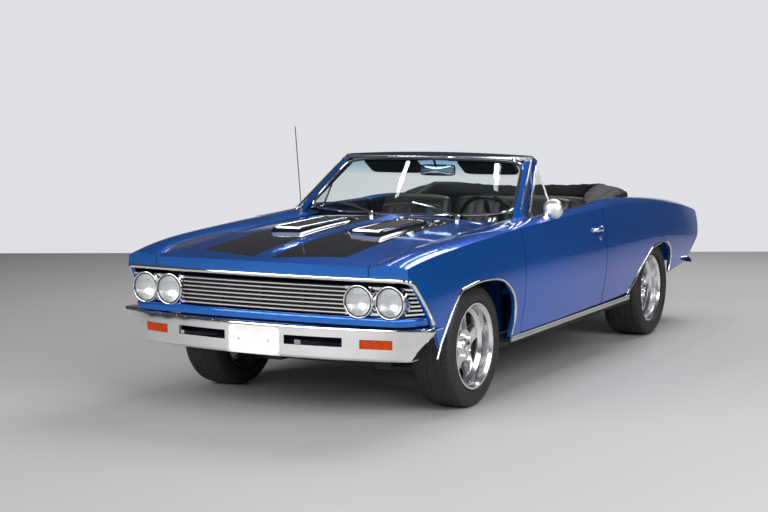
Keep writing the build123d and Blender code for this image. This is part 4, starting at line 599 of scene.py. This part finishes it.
# Outline of the rocker band as shares of its thickness and of half its height
ROCKER_RIM = np.array([(0, 1), (0.8, 0.94), (1, 0.75), (1, -0.75), (0.8, -0.94), (0, -1)])


def nose_y(x):
    """Front of the nose across the car: a shallow bow."""
    return NOSE_LIP_Y + NOSE_BOW * (np.asarray(x) / NOSE_HALF) ** 2


def arch_lip(arch, axle_y, panel):
    """Bright bead carried along the edge of a wheel arch, a little outside it, on the panel."""
    path = curve_through(arch, 60)
    ahead = unit(np.gradient(path, axis=0))
    away = joined(-ahead[:, 1], ahead[:, 0])
    y, z = (path + LIP_OFFSET * away + (axle_y, 0)).T
    return carry(joined(lay_on(panel, 0, y, z), y, z), moulding(0.008, 0.006), OUT)


def nose_moulding():
    """Bright bead across the nose, round its corner and down the fender's leaning edge: a moulding carried
    along points laid on the panels, its outer side turning from forwards to sideways at the corner."""
    x = np.linspace(0, NOSE_STRIP_HALF, 30)
    across = joined(x, nose_y(x) + 0.001, NOSE_STRIP_Z)
    z = np.linspace(EDGE_START_Z, EDGE_FOOT_Z, 30)
    y = EDGE_TOP_Y + (EDGE_TOP_Z - z) * EDGE_LEAN + EDGE_INSET
    down = joined(lay_on("fender_left", 0, y, z), y, z)
    corner = curve_through([across[-1], *NOSE_CORNER, down[0]], 16)[1:-1]
    half = np.concatenate([across, corner, down])
    path = spaced(np.r_[(half * (-1, 1, 1))[::-1][:-1], half], 240)
    turn = np.clip((np.abs(path[:, 0]) - NOSE_STRIP_HALF) / NOSE_TURN_RUN, 0, 1) * pi / 2
    out = joined(np.sign(path[:, 0]) * np.sin(turn), -np.cos(turn), 0)
    return carry(path, moulding(0.0115, 0.009), out)


def rocker(top, bottom, x, thick):
    """Flat rocker band: an outline between two heights that both rise to the rear, carried along the sill."""
    share = np.linspace(0, 1, 12)[:, None]
    y = ROCKER_FRONT_Y + (ROCKER_REAR_Y - ROCKER_FRONT_Y) * share
    high, low = (front + (rear - front) * share for front, rear in (top, bottom))
    z = (high + low) / 2 + (high - low) / 2 * ROCKER_RIM[:, 1]
    return capped(joined(x + thick * ROCKER_RIM[:, 0], y, z))


bright("arch_lips", both_sides(
    arch_lip(FRONT_ARCH, FRONT_AXLE_Y, "fender_left"), arch_lip(REAR_ARCH, REAR_AXLE_Y, "quarter_left")
))
bright("nose_moulding", [nose_moulding()])
add_piece("rocker_mouldings", both_sides(
    rocker((0.332, 0.353), (0.301, 0.322), 0.878, 0.009)
), BRUSHED, "body")
bright("rocker_beads", both_sides(rocker((0.333, 0.354), (0.325, 0.346), 0.884, 0.007)))


# Front bumper
BUMPER_HEIGHT, BUMPER_LEAN, BUMPER_LEAN_FROM, BUMPER_LEAN_RUN = 0.170, 0.085, 0.755, 0.185


def leaned_bumper():
    """The bumper's own form with its ends leaning in downwards: a shift across the car that grows with the
    depth below its top edge and, by a smooth step, with the distance outside the signal lamps."""
    points, triangles = mesh_of("front_bumper")
    depth = (BUMPER_TOP_Z - points[:, 2]) / BUMPER_HEIGHT
    step = np.clip((np.abs(points[:, 0]) - BUMPER_LEAN_FROM) / BUMPER_LEAN_RUN, 0, 1)
    points[:, 0] -= np.sign(points[:, 0]) * BUMPER_LEAN * depth * step**2 * (3 - 2 * step)
    return points, triangles.tolist()


bumper = add_piece("bumper_bar", [leaned_bumper()], BUMPER_CHROME, "body", ["front_bumper"], 50)
bumper.modifiers.new("even_faces", "WEIGHTED_NORMAL").keep_sharp = True


# Headlamps
LAMP_Z, LAMP_RADIUS, LAMP_XS, LAMP_SETBACK = 0.638, 0.073, (0.573, 0.740), 0.026
LAMP_PLACES = [side * x for side in (-1, 1) for x in LAMP_XS]
LENS_BACK, LENS_HEIGHT, LENS_STEPS, BOWL_DEPTH = 0.002, 0.012, 120, 0.040
FLUTE_DEPTH, FLUTE_WIDTH, FLUTE_REACH, FLUTE_FADE = 0.0008, 0.013, 0.062, 0.004


def lamp_spot(x, back=0.0):
    """Middle of a lamp, that far behind its bezel's front."""
    return np.array([x, nose_y(x) + LAMP_SETBACK + back, LAMP_Z])


def lens_dome(x):
    """Lamp glass: a shallow dome, its height falling with the square of the radius, closed by a flat back,
    and upright flutes on its face, a wave across the lamp that stops short of the rim."""
    r = np.linspace(0, 1, 44)
    edge = LAMP_RADIUS - 0.001
    profile = np.r_[joined(LENS_HEIGHT * (1 - r**2) + 0.002, r * edge), [[0, edge], [0, 0]]]
    points, faces = turned(profile, lamp_spot(x, LENS_BACK), FORWARD, LENS_STEPS)
    across, up = points[:, 0] - x, points[:, 2] - LAMP_Z
    wave = FLUTE_DEPTH * np.cos(across * 2 * pi / FLUTE_WIDTH)
    inside = np.clip((FLUTE_REACH - np.hypot(across, up)) / FLUTE_FADE, 0, 1)
    points[:, 1] -= np.tile(np.r_[np.ones_like(r), 0, 0], LENS_STEPS) * wave * inside
    return points, faces


def reflector(x):
    """Lamp bowl: depth grows with the square of the distance from the rim to the middle."""
    r = np.linspace(1, 0, 14)
    bowl = joined(-0.003 - BOWL_DEPTH * (1 - r**2), r * (LAMP_RADIUS - 0.0015))
    back = np.array([[-0.046, 0], [-0.046, 0.03], [-0.005, LAMP_RADIUS - 0.0008]])
    return turned(np.r_[bowl, back], lamp_spot(x, LENS_BACK), FORWARD, 48)


def lamp_ring(x, out, radius, thick):
    """Rim round a lamp: a small round turned about the lamp's middle, standing on the bezel's front."""
    return turned(oval(thick, thick, 14)[:, ::-1] + (out, radius), lamp_spot(x), FORWARD, 64, loop=True)


add_piece("lamp_lenses", [lens_dome(x) for x in LAMP_PLACES], LAMP_GLASS, "body", ["headlamps"])
add_piece("lamp_bowls", [reflector(x) for x in LAMP_PLACES], MIRROR, "body")
bright("lamp_rings", [lamp_ring(x, 0.006, LAMP_RADIUS + 0.0065, 0.0050) for x in LAMP_PLACES])
black("lamp_gaskets", [lamp_ring(x, 0.007, LAMP_RADIUS - 0.0005, 0.0026) for x in LAMP_PLACES])


# Number plate
PLATE_Y, PLATE_Z, PLATE_HALF = NOSE_Y + 0.0035, 0.418, (0.152, 0.072)
PLATE_HOLES_X, SCREW_RADIUS = 0.0889, 0.007


def plate():
    """Blank plate with a pressed rim: a square-shouldered outline swollen from its middle."""
    profile = [
        (0.0012, 0), (0.0012, 0.9), (0.0022, 0.93), (0.0022, 0.97), (0.0008, 1.0), (-0.0005, 0.995),
        (-0.0005, 0),
    ]
    return turned(profile, (0, PLATE_Y, PLATE_Z), FORWARD, 96, PLATE_HALF, 9.0)


def screw_head(x):
    """Small domed screw head."""
    r = SCREW_RADIUS
    profile = [(r * 0.7, 0), (r * 0.55, r * 0.6), (0, r), (-0.004, r), (-0.004, 0)]
    return turned(profile, (x, PLATE_Y - 0.001, PLATE_Z + 0.002), FORWARD, 16)


add_piece("front_plate", [plate()], PLATE_WHITE, "body")
bright("front_plate_screws", [screw_head(x) for x in (-PLATE_HOLES_X, PLATE_HOLES_X)])


# Door handles
HANDLE_Y, HANDLE_Z, HANDLE_HALF, HANDLE_STAND = -0.050, 0.834, 0.078, 0.030

# Round buttons on the door as (Y, Z, radius, height): the handle's rear and front feet, and the lock
BUTTONS = (
    (HANDLE_Y + 0.085, HANDLE_Z, 0.017, 0.010), (HANDLE_Y - 0.080, HANDLE_Z, 0.013, 0.008),
    (-0.012, 0.777, 0.012, 0.006),
)


def door_handle():
    """Pull handle: an oval section carried along a bow that stands off the door between two feet."""
    s = np.linspace(-1, 1, 25)
    y, z = HANDLE_Y + HANDLE_HALF * s, HANDLE_Z + 0 * s
    x = lay_on("door_left", 0, y, z) + HANDLE_STAND * (1 - s**4) - 0.003
    return carry(joined(x, y, z), oval(0.006, 0.009), OUT)


def push_button(y, z, radius, height):
    """Round button: a short barrel with a domed end on the door's skin."""
    profile = [
        (height, 0), (height * 0.92, radius * 0.7), (height * 0.7, radius), (-0.004, radius), (-0.004, 0),
    ]
    return turned(profile, (lay_on("door_left", 0, [y], [z])[0], y, z), OUT, 24)


for side in SIDES:
    shapes = [door_handle(), *(push_button(*button) for button in BUTTONS)]
    bright("door_handle_" + side, on_side(side, *shapes), "door_" + side)


# Vent windows
VENT_CORNERS = np.array([(0.796, -0.846, 0.944), (0.796, -0.474, 0.952), (0.670, -0.450, 1.256)])
VENT_NORMAL = unit(np.cross(VENT_CORNERS[1] - VENT_CORNERS[0], VENT_CORNERS[2] - VENT_CORNERS[0]))
PANE_HALF_THICK = 0.002


def vent_path(inset, count=90):
    """Triangle with rounded corners: straight runs between corners set in, smoothed by averaging."""
    middle = VENT_CORNERS.mean(0)
    corners = middle + (VENT_CORNERS - middle) * (1 - inset)
    ring = np.concatenate([
        np.linspace(a, b, count // 3, endpoint=False) for a, b in zip(corners, np.roll(corners, -1, 0))
    ])
    for _ in range(3):
        ring = (np.roll(ring, 1, 0) + ring + np.roll(ring, -1, 0)) / 3
    return ring


def vent_pane():
    """Flat pane: the same triangle, given a thickness along its normal."""
    ring, depth = vent_path(0.07), PANE_HALF_THICK * VENT_NORMAL
    return capped(np.stack([ring - depth, ring + depth]))


for side in SIDES:
    door = "door_" + side
    tube = carry(vent_path(0.06), oval(0.007, 0.006, 10), VENT_NORMAL, True)
    bright("vent_frame_" + side, on_side(side, tube), door, ["vent_window_" + side])
    add_piece("vent_pane_" + side, on_side(side, vent_pane()), CLEAR_GLASS, door)


# Windscreen edge
SCREEN_FOOT, SCREEN_HEAD = np.array([0.700, -0.842, 0.966]), np.array([0.604, -0.458, 1.270])
SCREEN_BOWS, SCREEN_LIFTS = (0.090, 0.045), (-0.022, 0.014)
SCREEN_HALF, SCREEN_HEIGHT, SCREEN_MIDDLE, SCREEN_REACH = 0.65, 0.5, 0.495, 0.485
GLASS_OUT = np.array([0, -0.62, 0.78])
PILLAR_WIDTH, HEAD_HALF, HEAD_SHARE = 0.043, 1.055, 1.068
VISOR_MIDDLE, VISOR_AXIS, VISOR_HALF = (0.328, -0.388, 1.225), (0, 0.5, 0.866), (0.185, 0.078)
MIRROR_MIDDLE, MIRROR_HALF = (0, -0.425, 1.197), (0.119, 0.035)


def screen_point(across, share, rise=0.0):
    """Point of the glass's face: ends on two leaning lines, bowed forward and lifted in the middle by a
    parabola; a rise takes it off the face."""
    end = SCREEN_FOOT + (SCREEN_HEAD - SCREEN_FOOT) * share[:, None]
    bow, lift = (foot + (head - foot) * share for foot, head in (SCREEN_BOWS, SCREEN_LIFTS))
    mid = 1 - across**2
    face = joined(end[:, 0] * across, end[:, 1] - bow * mid, end[:, 2] + lift * mid)
    return face + rise * GLASS_OUT


def screen_edge(inset, radius, rise):
    """Round bead carried round the glass: a square-shouldered round in the glass's own two directions, a
    little inside its edge and standing off its face."""
    across, up = shouldered(4000)
    share = SCREEN_MIDDLE + up * (SCREEN_REACH - inset / SCREEN_HEIGHT)
    ring = spaced(screen_point(across * (1 - inset / SCREEN_HALF), share, rise), 241)[:-1]
    return carry(ring, oval(radius, radius, 10), GLASS_OUT, True)


def pillar_strip():
    """Bright moulding up the outer edge of each pillar, on the frame's face."""
    share = np.linspace(0.06, 1.0, 30)
    wide = 1 + PILLAR_WIDTH / (SCREEN_FOOT[0] + (SCREEN_HEAD[0] - SCREEN_FOOT[0]) * share)
    path = screen_point(wide, share) + (-0.001, -0.008, 0.002)
    return carry(path, moulding(0.007, 0.006, 0.005), (0.85, -0.5, 0.1))


def head_seal():
    """Dark rubber strip along the top of the head: a half-round moulding carried across the frame's bow."""
    across = np.linspace(-HEAD_HALF, HEAD_HALF, 60)
    path = screen_point(across, np.full(60, HEAD_SHARE)) + (0, 0.010, 0.002)
    return carry(path, moulding(0.006, 0.004, 0.003), (0, -0.2, 1))


def visor():
    """Sun visor: a flat pad with round corners and round edges, a square-shouldered outline swollen from its
    middle."""
    face = [(0.020, 0), (0.020, 0.90), (0.016, 0.965), (0.008, 0.99)]
    profile = face + [(0, 1)] + [(-along, radius) for along, radius in face[::-1]]
    return turned(profile, VISOR_MIDDLE, VISOR_AXIS, 96, VISOR_HALF, 10.0)


def inner_mirror():
    """Mirror over the dashboard: a shell with round corners, domed towards the front."""
    profile = [
        (0.016, 0), (0.016, 0.94), (0.012, 1.0), (-0.006, 0.99), (-0.016, 0.90), (-0.021, 0.6), (-0.023, 0),
    ]
    return turned(profile, MIRROR_MIDDLE, (0, 1, 0), 96, MIRROR_HALF, 6.0)


bright("screen_edge", [screen_edge(0.002, 0.0065, 0.003)])
black("screen_gasket", [screen_edge(0.013, 0.005, 0.0)])
bright("pillar_strips", both_sides(pillar_strip()))
black("head_seal", [head_seal()])
add_piece("visors", both_sides(visor()), VINYL, "body")
bright("inner_mirror", [inner_mirror()])


# Wipers as (pivot's X, blade's ends across the glass, shares of its height at the ends and the middle)
WIPERS = (
    (-0.177, (-0.92, -0.46), (0.080, 0.135, 0.120)), (0.394, (-0.20, 0.36), (0.135, 0.190, 0.145)),
)
WIPER_PIVOT_Y, BLADE_RISE, ARM_RISE, CAP_RISE = -0.957, 0.010, 0.018, 0.022


def on_top(node, x, y):
    """Point of a node's upper side."""
    return np.array([x, y, lay_on(node, 2, [x], [y])[0]])


def wiper_blade(ends, shares):
    """Slim blade: an oval carried along the glass on a parabola between its two ends and its middle."""
    s = np.linspace(-1, 1, 40)
    first, middle, last = shares
    share = middle + (last - first) / 2 * s + ((first + last) / 2 - middle) * s**2
    path = screen_point(np.interp(s, (-1, 1), ends), share, BLADE_RISE)
    return carry(path, oval(0.006, 0.005), GLASS_OUT)


def wiper_arm(pivot_x, ends, share):
    """Arm: a flat oval carried on a smooth curve from its pivot on the cowl to the blade's middle, with a
    domed cap turned about the pivot."""
    foot = on_top("cowl", pivot_x, WIPER_PIVOT_Y)
    tip = screen_point(np.mean(ends), np.array([share]), ARM_RISE)[0]
    rise = foot + CAP_RISE * UP
    path = curve_through([rise, rise * 0.55 + tip * 0.45 + 0.008 * GLASS_OUT, tip], 36)
    cap = [(0.030, 0), (0.029, 0.007), (0.024, 0.012), (0.006, 0.014), (-0.006, 0.015), (-0.006, 0)]
    return [carry(path, oval(0.0035, 0.0065), GLASS_OUT), turned(cap, foot, UP, 28)]


black("wiper_blades", [wiper_blade(ends, shares) for _, ends, shares in WIPERS])
bright("wiper_arms", [
    shape for pivot_x, ends, shares in WIPERS for shape in wiper_arm(pivot_x, ends, shares[1])
], replaces=["wipers"])


# Door mirror
SHELL_MIDDLE, STALK_FOOT = np.array([0.879, -0.682, 0.997]), (0.866, -0.756)
SHELL_DEPTH, SHELL_RADIUS = 0.042, 0.059


def mirror_head():
    """Round shell: half an ellipse turned about its axis, domed to the front, with a rolled rim and flat
    glass."""
    r = np.sin(np.linspace(0, pi / 2, 24))
    dome = joined(SHELL_DEPTH * np.sqrt(1 - r**2), SHELL_RADIUS * r)
    rim = [(-0.005, 0.0600), (-0.009, 0.0585), (-0.010, 0.0560), (-0.007, 0.0540), (-0.007, 0)]
    return turned(np.r_[dome, rim], SHELL_MIDDLE, (0.12, -1, 0), 64)


def mirror_stalk():
    """Stalk: an oval carried on a smooth curve from the door's skin to the shell's underside, and its round
    foot."""
    foot = on_top("door_left", *STALK_FOOT)
    points = [foot - (0, 0, 0.01), foot + (0, 0.012, 0.030), SHELL_MIDDLE + (0, -0.012, -0.030)]
    base = [(0.012, 0), (0.011, 0.012), (0.006, 0.021), (-0.012, 0.024), (-0.012, 0)]
    stalk = carry(curve_through(points, 30), oval(0.008, 0.011), (0, -1, 0.4))
    return [stalk, turned(base, foot, (0.2, 0, 1), 32)]


add_piece(
    "mirror_shell", [mirror_head(), *mirror_stalk()], SHELL_CHROME, "door_left", ["door_mirror"]
)


# Hood inserts
INSERT_X, INSERT_HALF, INSERT_FRONT_Y, INSERT_REAR_Y = 0.250, 0.080, -1.770, -1.270
RIB_PITCH = 0.025


def hood_insert():
    """Ribbed black plate on the blister: the hood's own height plus ribs, a rounded wave along the car."""
    y, s = np.meshgrid(
        np.linspace(INSERT_FRONT_Y, INSERT_REAR_Y, 121), np.linspace(-1, 1, 13), indexing="ij"
    )
    x = INSERT_X + INSERT_HALF * s
    z = lay_on("hood", 2, x.ravel(), y.ravel()).reshape(x.shape)
    rib = 0.004 + 0.003 * np.abs(np.sin((y - INSERT_FRONT_Y) * pi / RIB_PITCH)) ** 0.5
    rim = np.minimum(1, 8 * (1 - np.abs(s)))
    top, low = joined(x, y, z + rib * rim), joined(x, y, z - 0.004)
    return capped(np.concatenate([top, low[:, ::-1]], 1))


def insert_rim():
    """Bright bead carried round the insert on the hood."""
    corners = [(-1, 0), (1, 0), (1, 1), (-1, 1)]
    ring = np.concatenate([
        np.linspace(a, b, n, endpoint=False)
        for a, b, n in zip(corners, corners[1:] + corners[:1], (10, 40, 10, 40))
    ])
    x = INSERT_X + INSERT_HALF * ring[:, 0]
    y = INSERT_FRONT_Y + (INSERT_REAR_Y - INSERT_FRONT_Y) * ring[:, 1]
    return carry(joined(x, y, lay_on("hood", 2, x, y)), moulding(0.006, 0.010), UP, True)


black("hood_inserts", both_sides(hood_insert()), "hood")
bright("hood_insert_rims", both_sides(insert_rim()), "hood")


# Wheels
TREAD_STEPS, TREAD_BLOCKS, TYRE_RADIUS, NUT_CIRCLE = 360, 60, 0.326, 0.057
GROOVE_SHARES, GROOVE_WIDTH, GROOVE_DEPTH, CUT_DEPTH = (-0.52, -0.18, 0.18, 0.52), 0.0035, 0.006, 0.0035
SIDE_RIB_RADIUS, SIDE_RIB_WIDTH, SIDE_RIB_HEIGHT = 0.272, 0.004, 0.0012


def tyre(node):
    """Tyre: an outline turned about the axle; the tread is cut by round grooves, a bell across the width, and
    by slanted cross cuts, a steep wave round the wheel."""
    low, high = np.array(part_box(node))
    half = (high[0] - low[0]) / 2
    outline = [
        (0.096, 0.2185), (0.101, 0.2330), (half - 0.012, 0.2385), (half - 0.002, 0.262),
        (half - 0.004, 0.288), (half - 0.018, 0.316), (half - 0.044, 0.3252), (0.0, TYRE_RADIUS),
    ]
    a, r = curve_through(outline + [(-a, r) for a, r in outline[-2::-1]], 91).T
    angle = np.linspace(0, 2 * pi, TREAD_STEPS, endpoint=False)[:, None]
    tread = np.clip((half - 0.020 - np.abs(a)) / 0.008, 0, 1) * (r > 0.28)
    rounds = sum(np.exp(-((a - share * half) / GROOVE_WIDTH) ** 2) for share in GROOVE_SHARES)
    cuts = np.clip(np.sin(angle * TREAD_BLOCKS + 60 * np.abs(a)) * 6 - 4.6, 0, 1) * (np.abs(a) > 0.2 * half)
    ribs = SIDE_RIB_HEIGHT * np.exp(-((r - SIDE_RIB_RADIUS) / SIDE_RIB_WIDTH) ** 2)
    sunk = tread * np.clip(GROOVE_DEPTH * rounds + CUT_DEPTH * cuts, 0, GROOVE_DEPTH)
    radius = np.minimum(r - sunk + ribs, TYRE_RADIUS)
    points = joined(a, radius * np.cos(angle), radius * np.sin(angle)) + (low + high) / 2
    return points.reshape(-1, 3), grid(TREAD_STEPS, len(a), True, True).tolist()


def wheel_nuts(node):
    """Five six-sided nuts round the hub and a domed cap in its middle."""
    centre = np.mean(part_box(node), axis=0)
    axis = np.sign(centre[0]) * OUT
    nut = [(0.062, 0), (0.062, 0.006), (0.058, 0.010), (0.040, 0.0105), (0.040, 0)]
    cap = [(0.078, 0), (0.077, 0.014), (0.072, 0.024), (0.056, 0.029), (0.050, 0.030), (0.050, 0)]
    angle = radians(36) + np.arange(5) * 2 * pi / 5
    places = [centre + NUT_CIRCLE * np.array([0, cos(t), sin(t)]) for t in angle]
    return [turned(nut, place, axis, 6) for place in places] + [turned(cap, centre, axis, 40)]


for wheel in ("front_left", "front_right", "rear_left", "rear_right"):
    body, tyre_node = "wheel_" + wheel, "tyre_" + wheel
    add_piece("tread_" + wheel, [tyre(tyre_node)], RUBBER, body, [tyre_node])
    bright("nuts_" + wheel, wheel_nuts("rim_" + wheel), body)


# Cabin
SEAT_X, PLEAT_DEPTH = 0.425, 0.006

# Cushions as half sizes, number of pleats, grid of points, place and lean
CUSHIONS = {
    "front_cushions": ((0.250, 0.250, 0.085), 7, (56, 56), (SEAT_X, -0.212, 0.490), 0.06),
    "front_backs": ((0.250, 0.290, 0.075), 7, (56, 56), (SEAT_X, 0.060, 0.735), radians(74)),
    "rear_cushion": ((0.525, 0.240, 0.060), 15, (110, 56), (0, 0.545, 0.572), 0.05),
    "rear_back": ((0.525, 0.220, 0.060), 15, (110, 56), (0, 0.860, 0.762), radians(76)),
}

# The folded top's inner and outer lines as (X, Y) from the left end to the middle, and their heights by the
# share of the way from the middle to an end
TOP_LOW_Z, TOP_TAPER_FROM = 0.958, 0.84
TOP_INNER = [(0.600, 0.405), (0.594, 0.620), (0.578, 0.800), (0.480, 0.922), (0.250, 0.950), (0.0, 0.956)]
TOP_OUTER = [(0.752, 0.405), (0.778, 0.600), (0.770, 0.820), (0.718, 1.020), (0.470, 1.068), (0.0, 1.076)]
TOP_SHARES = (0, 0.30, 0.50, 0.62, 0.72, 0.82, 0.92, 1.0)
TOP_INNER_ZS = (1.056, 1.062, 1.078, 1.084, 1.072, 1.044, 1.008, 0.978)
TOP_OUTER_ZS = (0.996, 0.992, 1.004, 1.026, 1.024, 1.012, 0.994, 0.974)


def leaned(shape, place, lean):
    """Cushion moved to its place and leaned about X: zero lies flat, a right angle faces it forward."""
    points, faces = shape
    c, s = cos(lean), sin(lean)
    return points @ np.array([[1, 0, 0], [0, c, s], [0, -s, c]]) + place, faces


def seat_plinth():
    """Seat foot: a square-shouldered tub, narrower at the floor."""
    profile = [(0.100, 0), (0.100, 0.92), (0.080, 1.0), (0.010, 0.86), (0.0, 0.84), (0.0, 0)]
    return turned(profile, (SEAT_X, -0.205, 0.321), UP, 64, (0.20, 0.20), 7.0)


def bell(value, width):
    """Bell round zero, of that width."""
    return np.exp(-(value / width) ** 2)


def top_roll():
    """Folded roof under its cover: between an inner line round the back seat and an outer line on the body, a
    square-shouldered loop whose top falls from the inner side to the outer; a welt, two long folds and soft
    cross creases run over it as bells and waves."""
    inner, outer = (
        curve_through([(x, y, 0) for x, y in line] + [(-x, y, 0) for x, y in line[-2::-1]], 260)
        for line in (TOP_INNER, TOP_OUTER)
    )
    s = np.linspace(-1, 1, len(inner))[:, None]
    along = np.abs(s)
    angle = np.linspace(0, 2 * pi, 72, endpoint=False)[None]
    c, w = np.cos(angle), np.sin(angle)
    end = ((along - TOP_TAPER_FROM) / (1 - TOP_TAPER_FROM)).clip(0)
    taper = np.clip(1 - end**2, 0.01, 1) ** 0.5
    q = 0.5 - 0.5 * np.sign(c) * np.abs(c) ** 0.55 * taper
    inner_z, outer_z = (np.interp(along, TOP_SHARES, zs) for zs in (TOP_INNER_ZS, TOP_OUTER_ZS))
    high = inner_z * (1 - q) + outer_z * q
    crease = (
        0.0035 * bell(angle - 0.62, 0.05) - 0.0045 * bell(angle - 0.74, 0.05)
        - 0.0050 * bell(angle - 1.5 - 0.18 * np.sin(5 * s), 0.10)
        - 0.0040 * bell(angle - 2.3 - 0.12 * np.sin(7 * s + 1), 0.08)
        + 0.0022 * np.sin(46 * s + 2.2 * angle) * np.sin(11 * s + 0.7) + 0.0014 * np.sin(83 * s - 3 * angle)
    )
    middle, half = (high + TOP_LOW_Z) / 2, (high - TOP_LOW_Z) / 2
    rings = inner[:, None] * (1 - q[..., None]) + outer[:, None] * q[..., None]
    rings[..., 2] = middle + half * taper * np.sign(w) * np.abs(w) ** 0.5 + crease * taper * (w > 0)
    return capped(rings)


for name, (half, pleats, count, place, lean) in CUSHIONS.items():
    shape = leaned(pillow(half, pleats, PLEAT_DEPTH, count=count), place, lean)
    shapes = both_sides(shape) if place[0] else [shape]
    cushion = add_piece(name, shapes, VINYL, "body", ["seats"], 60)
black("seat_plinths", both_sides(seat_plinth()))
top = add_piece("top_roll", [top_roll()], COVER, "body", ["folded_top"], 70)


# Dashboard dials
DIAL_Y, DIAL_Z, DIAL_XS, DIAL_RADIUS = -0.716, 0.800, (0.260, 0.425, 0.590), 0.0585
DIAL_RING = oval(0.004, 0.005)[:, ::-1] + (0, DIAL_RADIUS)
DIAL_BOWL = [(-0.030, 0), (-0.029, 0.035), (-0.024, 0.052), (-0.012, 0.058), (-0.034, 0.0578), (-0.034, 0)]


def dial(x, profile, loop):
    """Ring or dished face of an instrument: an outline turned about the dial's middle."""
    return turned(profile, (x, DIAL_Y, DIAL_Z), (0, 1, 0), 48, loop=loop)


bright("dial_rings", [dial(x, DIAL_RING, True) for x in DIAL_XS])
black("dial_faces", [dial(x, DIAL_BOWL, False) for x in DIAL_XS])


# Tail lamp frames
TAIL_LAMP_MIDDLE, TAIL_LAMP_HALF = (0.550, 2.372, 0.687), (0.114, 0, 0.059)


def lamp_frame():
    """Bright frame round a tail lamp: a half-round moulding carried round a square-shouldered outline."""
    across, up = shouldered(2000)
    ring = joined(across, 0, up) * TAIL_LAMP_HALF + TAIL_LAMP_MIDDLE
    return carry(spaced(ring, 161)[:-1], moulding(0.007, 0.013, 0.003), (0, 1, 0), True)


bright("tail_lamp_frames", both_sides(lamp_frame()))


# Stage, light and camera
CAMERA_PLACE, CAMERA_LENS, SENSOR_WIDTH = (4.215, -8.8255, 1.590), 70.8, 36.0
CAMERA_YAW, CAMERA_PITCH, CAMERA_ROLL = radians(-28.68), radians(-5.64), radians(-0.13)
FLOOR_WIDTH, FLOOR_NEAR, FLOOR_FAR = 60.0, 12.0, 16.5
WALL_PALE, WALL_DARK, WALL_FADE = (0.74, 0.75, 0.77), (0.055, 0.057, 0.060), (0.075, 0.14)
BACKDROP_EDGE, FRONT_EDGE, FRONT_SHARE = (0.80, 0.92), (-0.7, -0.2), 0.55

# Soft lamps as name, place, target, length, width and power
SOFTBOXES = (
    ("top_softbox", (1.5, 5.2, 8.0), (0.4, 0.5, 0), 5.0, 5.0, 600.0),
    ("left_softbox", (6.5, -4.0, 4.6), (0, -0.2, 0.6), 4.5, 8.0, 560.0),
    ("front_softbox", (-2.5, -9.0, 4.4), (-1.0, -3.6, 0.2), 4.5, 7.0, 560.0),
    ("tube_near", (-0.5, 1.5, 4.2), (-0.5, 1.5, 0), 3.2, 0.06, 18.0),
    ("tube_middle", (-1.9, 1.5, 4.2), (-1.9, 1.5, 0), 3.2, 0.06, 18.0),
)


def studio():
    """Pale floor that ends behind the car, soft lamps round it, and air that is pale behind the car and
    before it and dark to its sides and overhead."""
    half = FLOOR_WIDTH / 2
    ahead = np.array([sin(CAMERA_YAW), cos(CAMERA_YAW), 0])
    aside = np.array([cos(CAMERA_YAW), -sin(CAMERA_YAW), 0])
    eye = np.array([*CAMERA_PLACE[:2], 0])
    corners = [eye + ahead * far + aside * side for far, side in (
        (-FLOOR_NEAR, -half), (-FLOOR_NEAR, half), (FLOOR_FAR, half), (FLOOR_FAR, -half))]
    add_piece("studio_floor", [(np.array(corners), [[0, 1, 2, 3]])], FLOOR_PALE, None)
    for name, place, target, length, width, power in SOFTBOXES:
        light = bpy.data.lights.new(name, "AREA")
        light.shape, light.size, light.size_y, light.energy = "RECTANGLE", width, length, power
        lamp = bpy.data.objects.new(name, light)
        lamp.location = place
        lamp.rotation_euler = (Vector(target) - Vector(place)).to_track_quat("-Z", "Y").to_euler()
        bpy.context.scene.collection.objects.link(lamp)
    world = bpy.data.worlds.new("studio_air")
    world.use_nodes = True
    tree = world.node_tree
    way = add(tree, "SeparateXYZ", None, {0: add(tree, "TexCoord").outputs["Generated"]}).outputs
    toward = calc("ADD", *[calc("MULTIPLY", way[i], float(ahead[i])) for i in (0, 1)])
    behind = span(toward, 0.0, 1.0, BACKDROP_EDGE)
    front = span(toward, FRONT_SHARE, 0.0, FRONT_EDGE)
    level = calc("MULTIPLY", any_of(behind, front), span(way[2], 1.0, 0.0, WALL_FADE))
    tree.links.new(tones(level, WALL_DARK, WALL_PALE), tree.nodes["Background"].inputs["Color"])
    bpy.context.scene.world = world
    bpy.context.scene.view_settings.view_transform = "Standard"


def photo_camera():
    """Camera at the place, turn and lens fitted to the photo."""
    data = bpy.data.cameras.new("photo_camera")
    data.lens, data.sensor_width = CAMERA_LENS, SENSOR_WIDTH
    level = cos(CAMERA_PITCH)
    ahead = Vector((sin(CAMERA_YAW) * level, cos(CAMERA_YAW) * level, sin(CAMERA_PITCH)))
    camera = bpy.data.objects.new("photo_camera", data)
    camera.location = CAMERA_PLACE
    turn = ahead.to_track_quat("-Z", "Y") @ Quaternion((0, 0, 1), CAMERA_ROLL)
    camera.rotation_euler = turn.to_euler()
    bpy.context.scene.collection.objects.link(camera)
    bpy.context.scene.camera = camera


studio()
photo_camera()
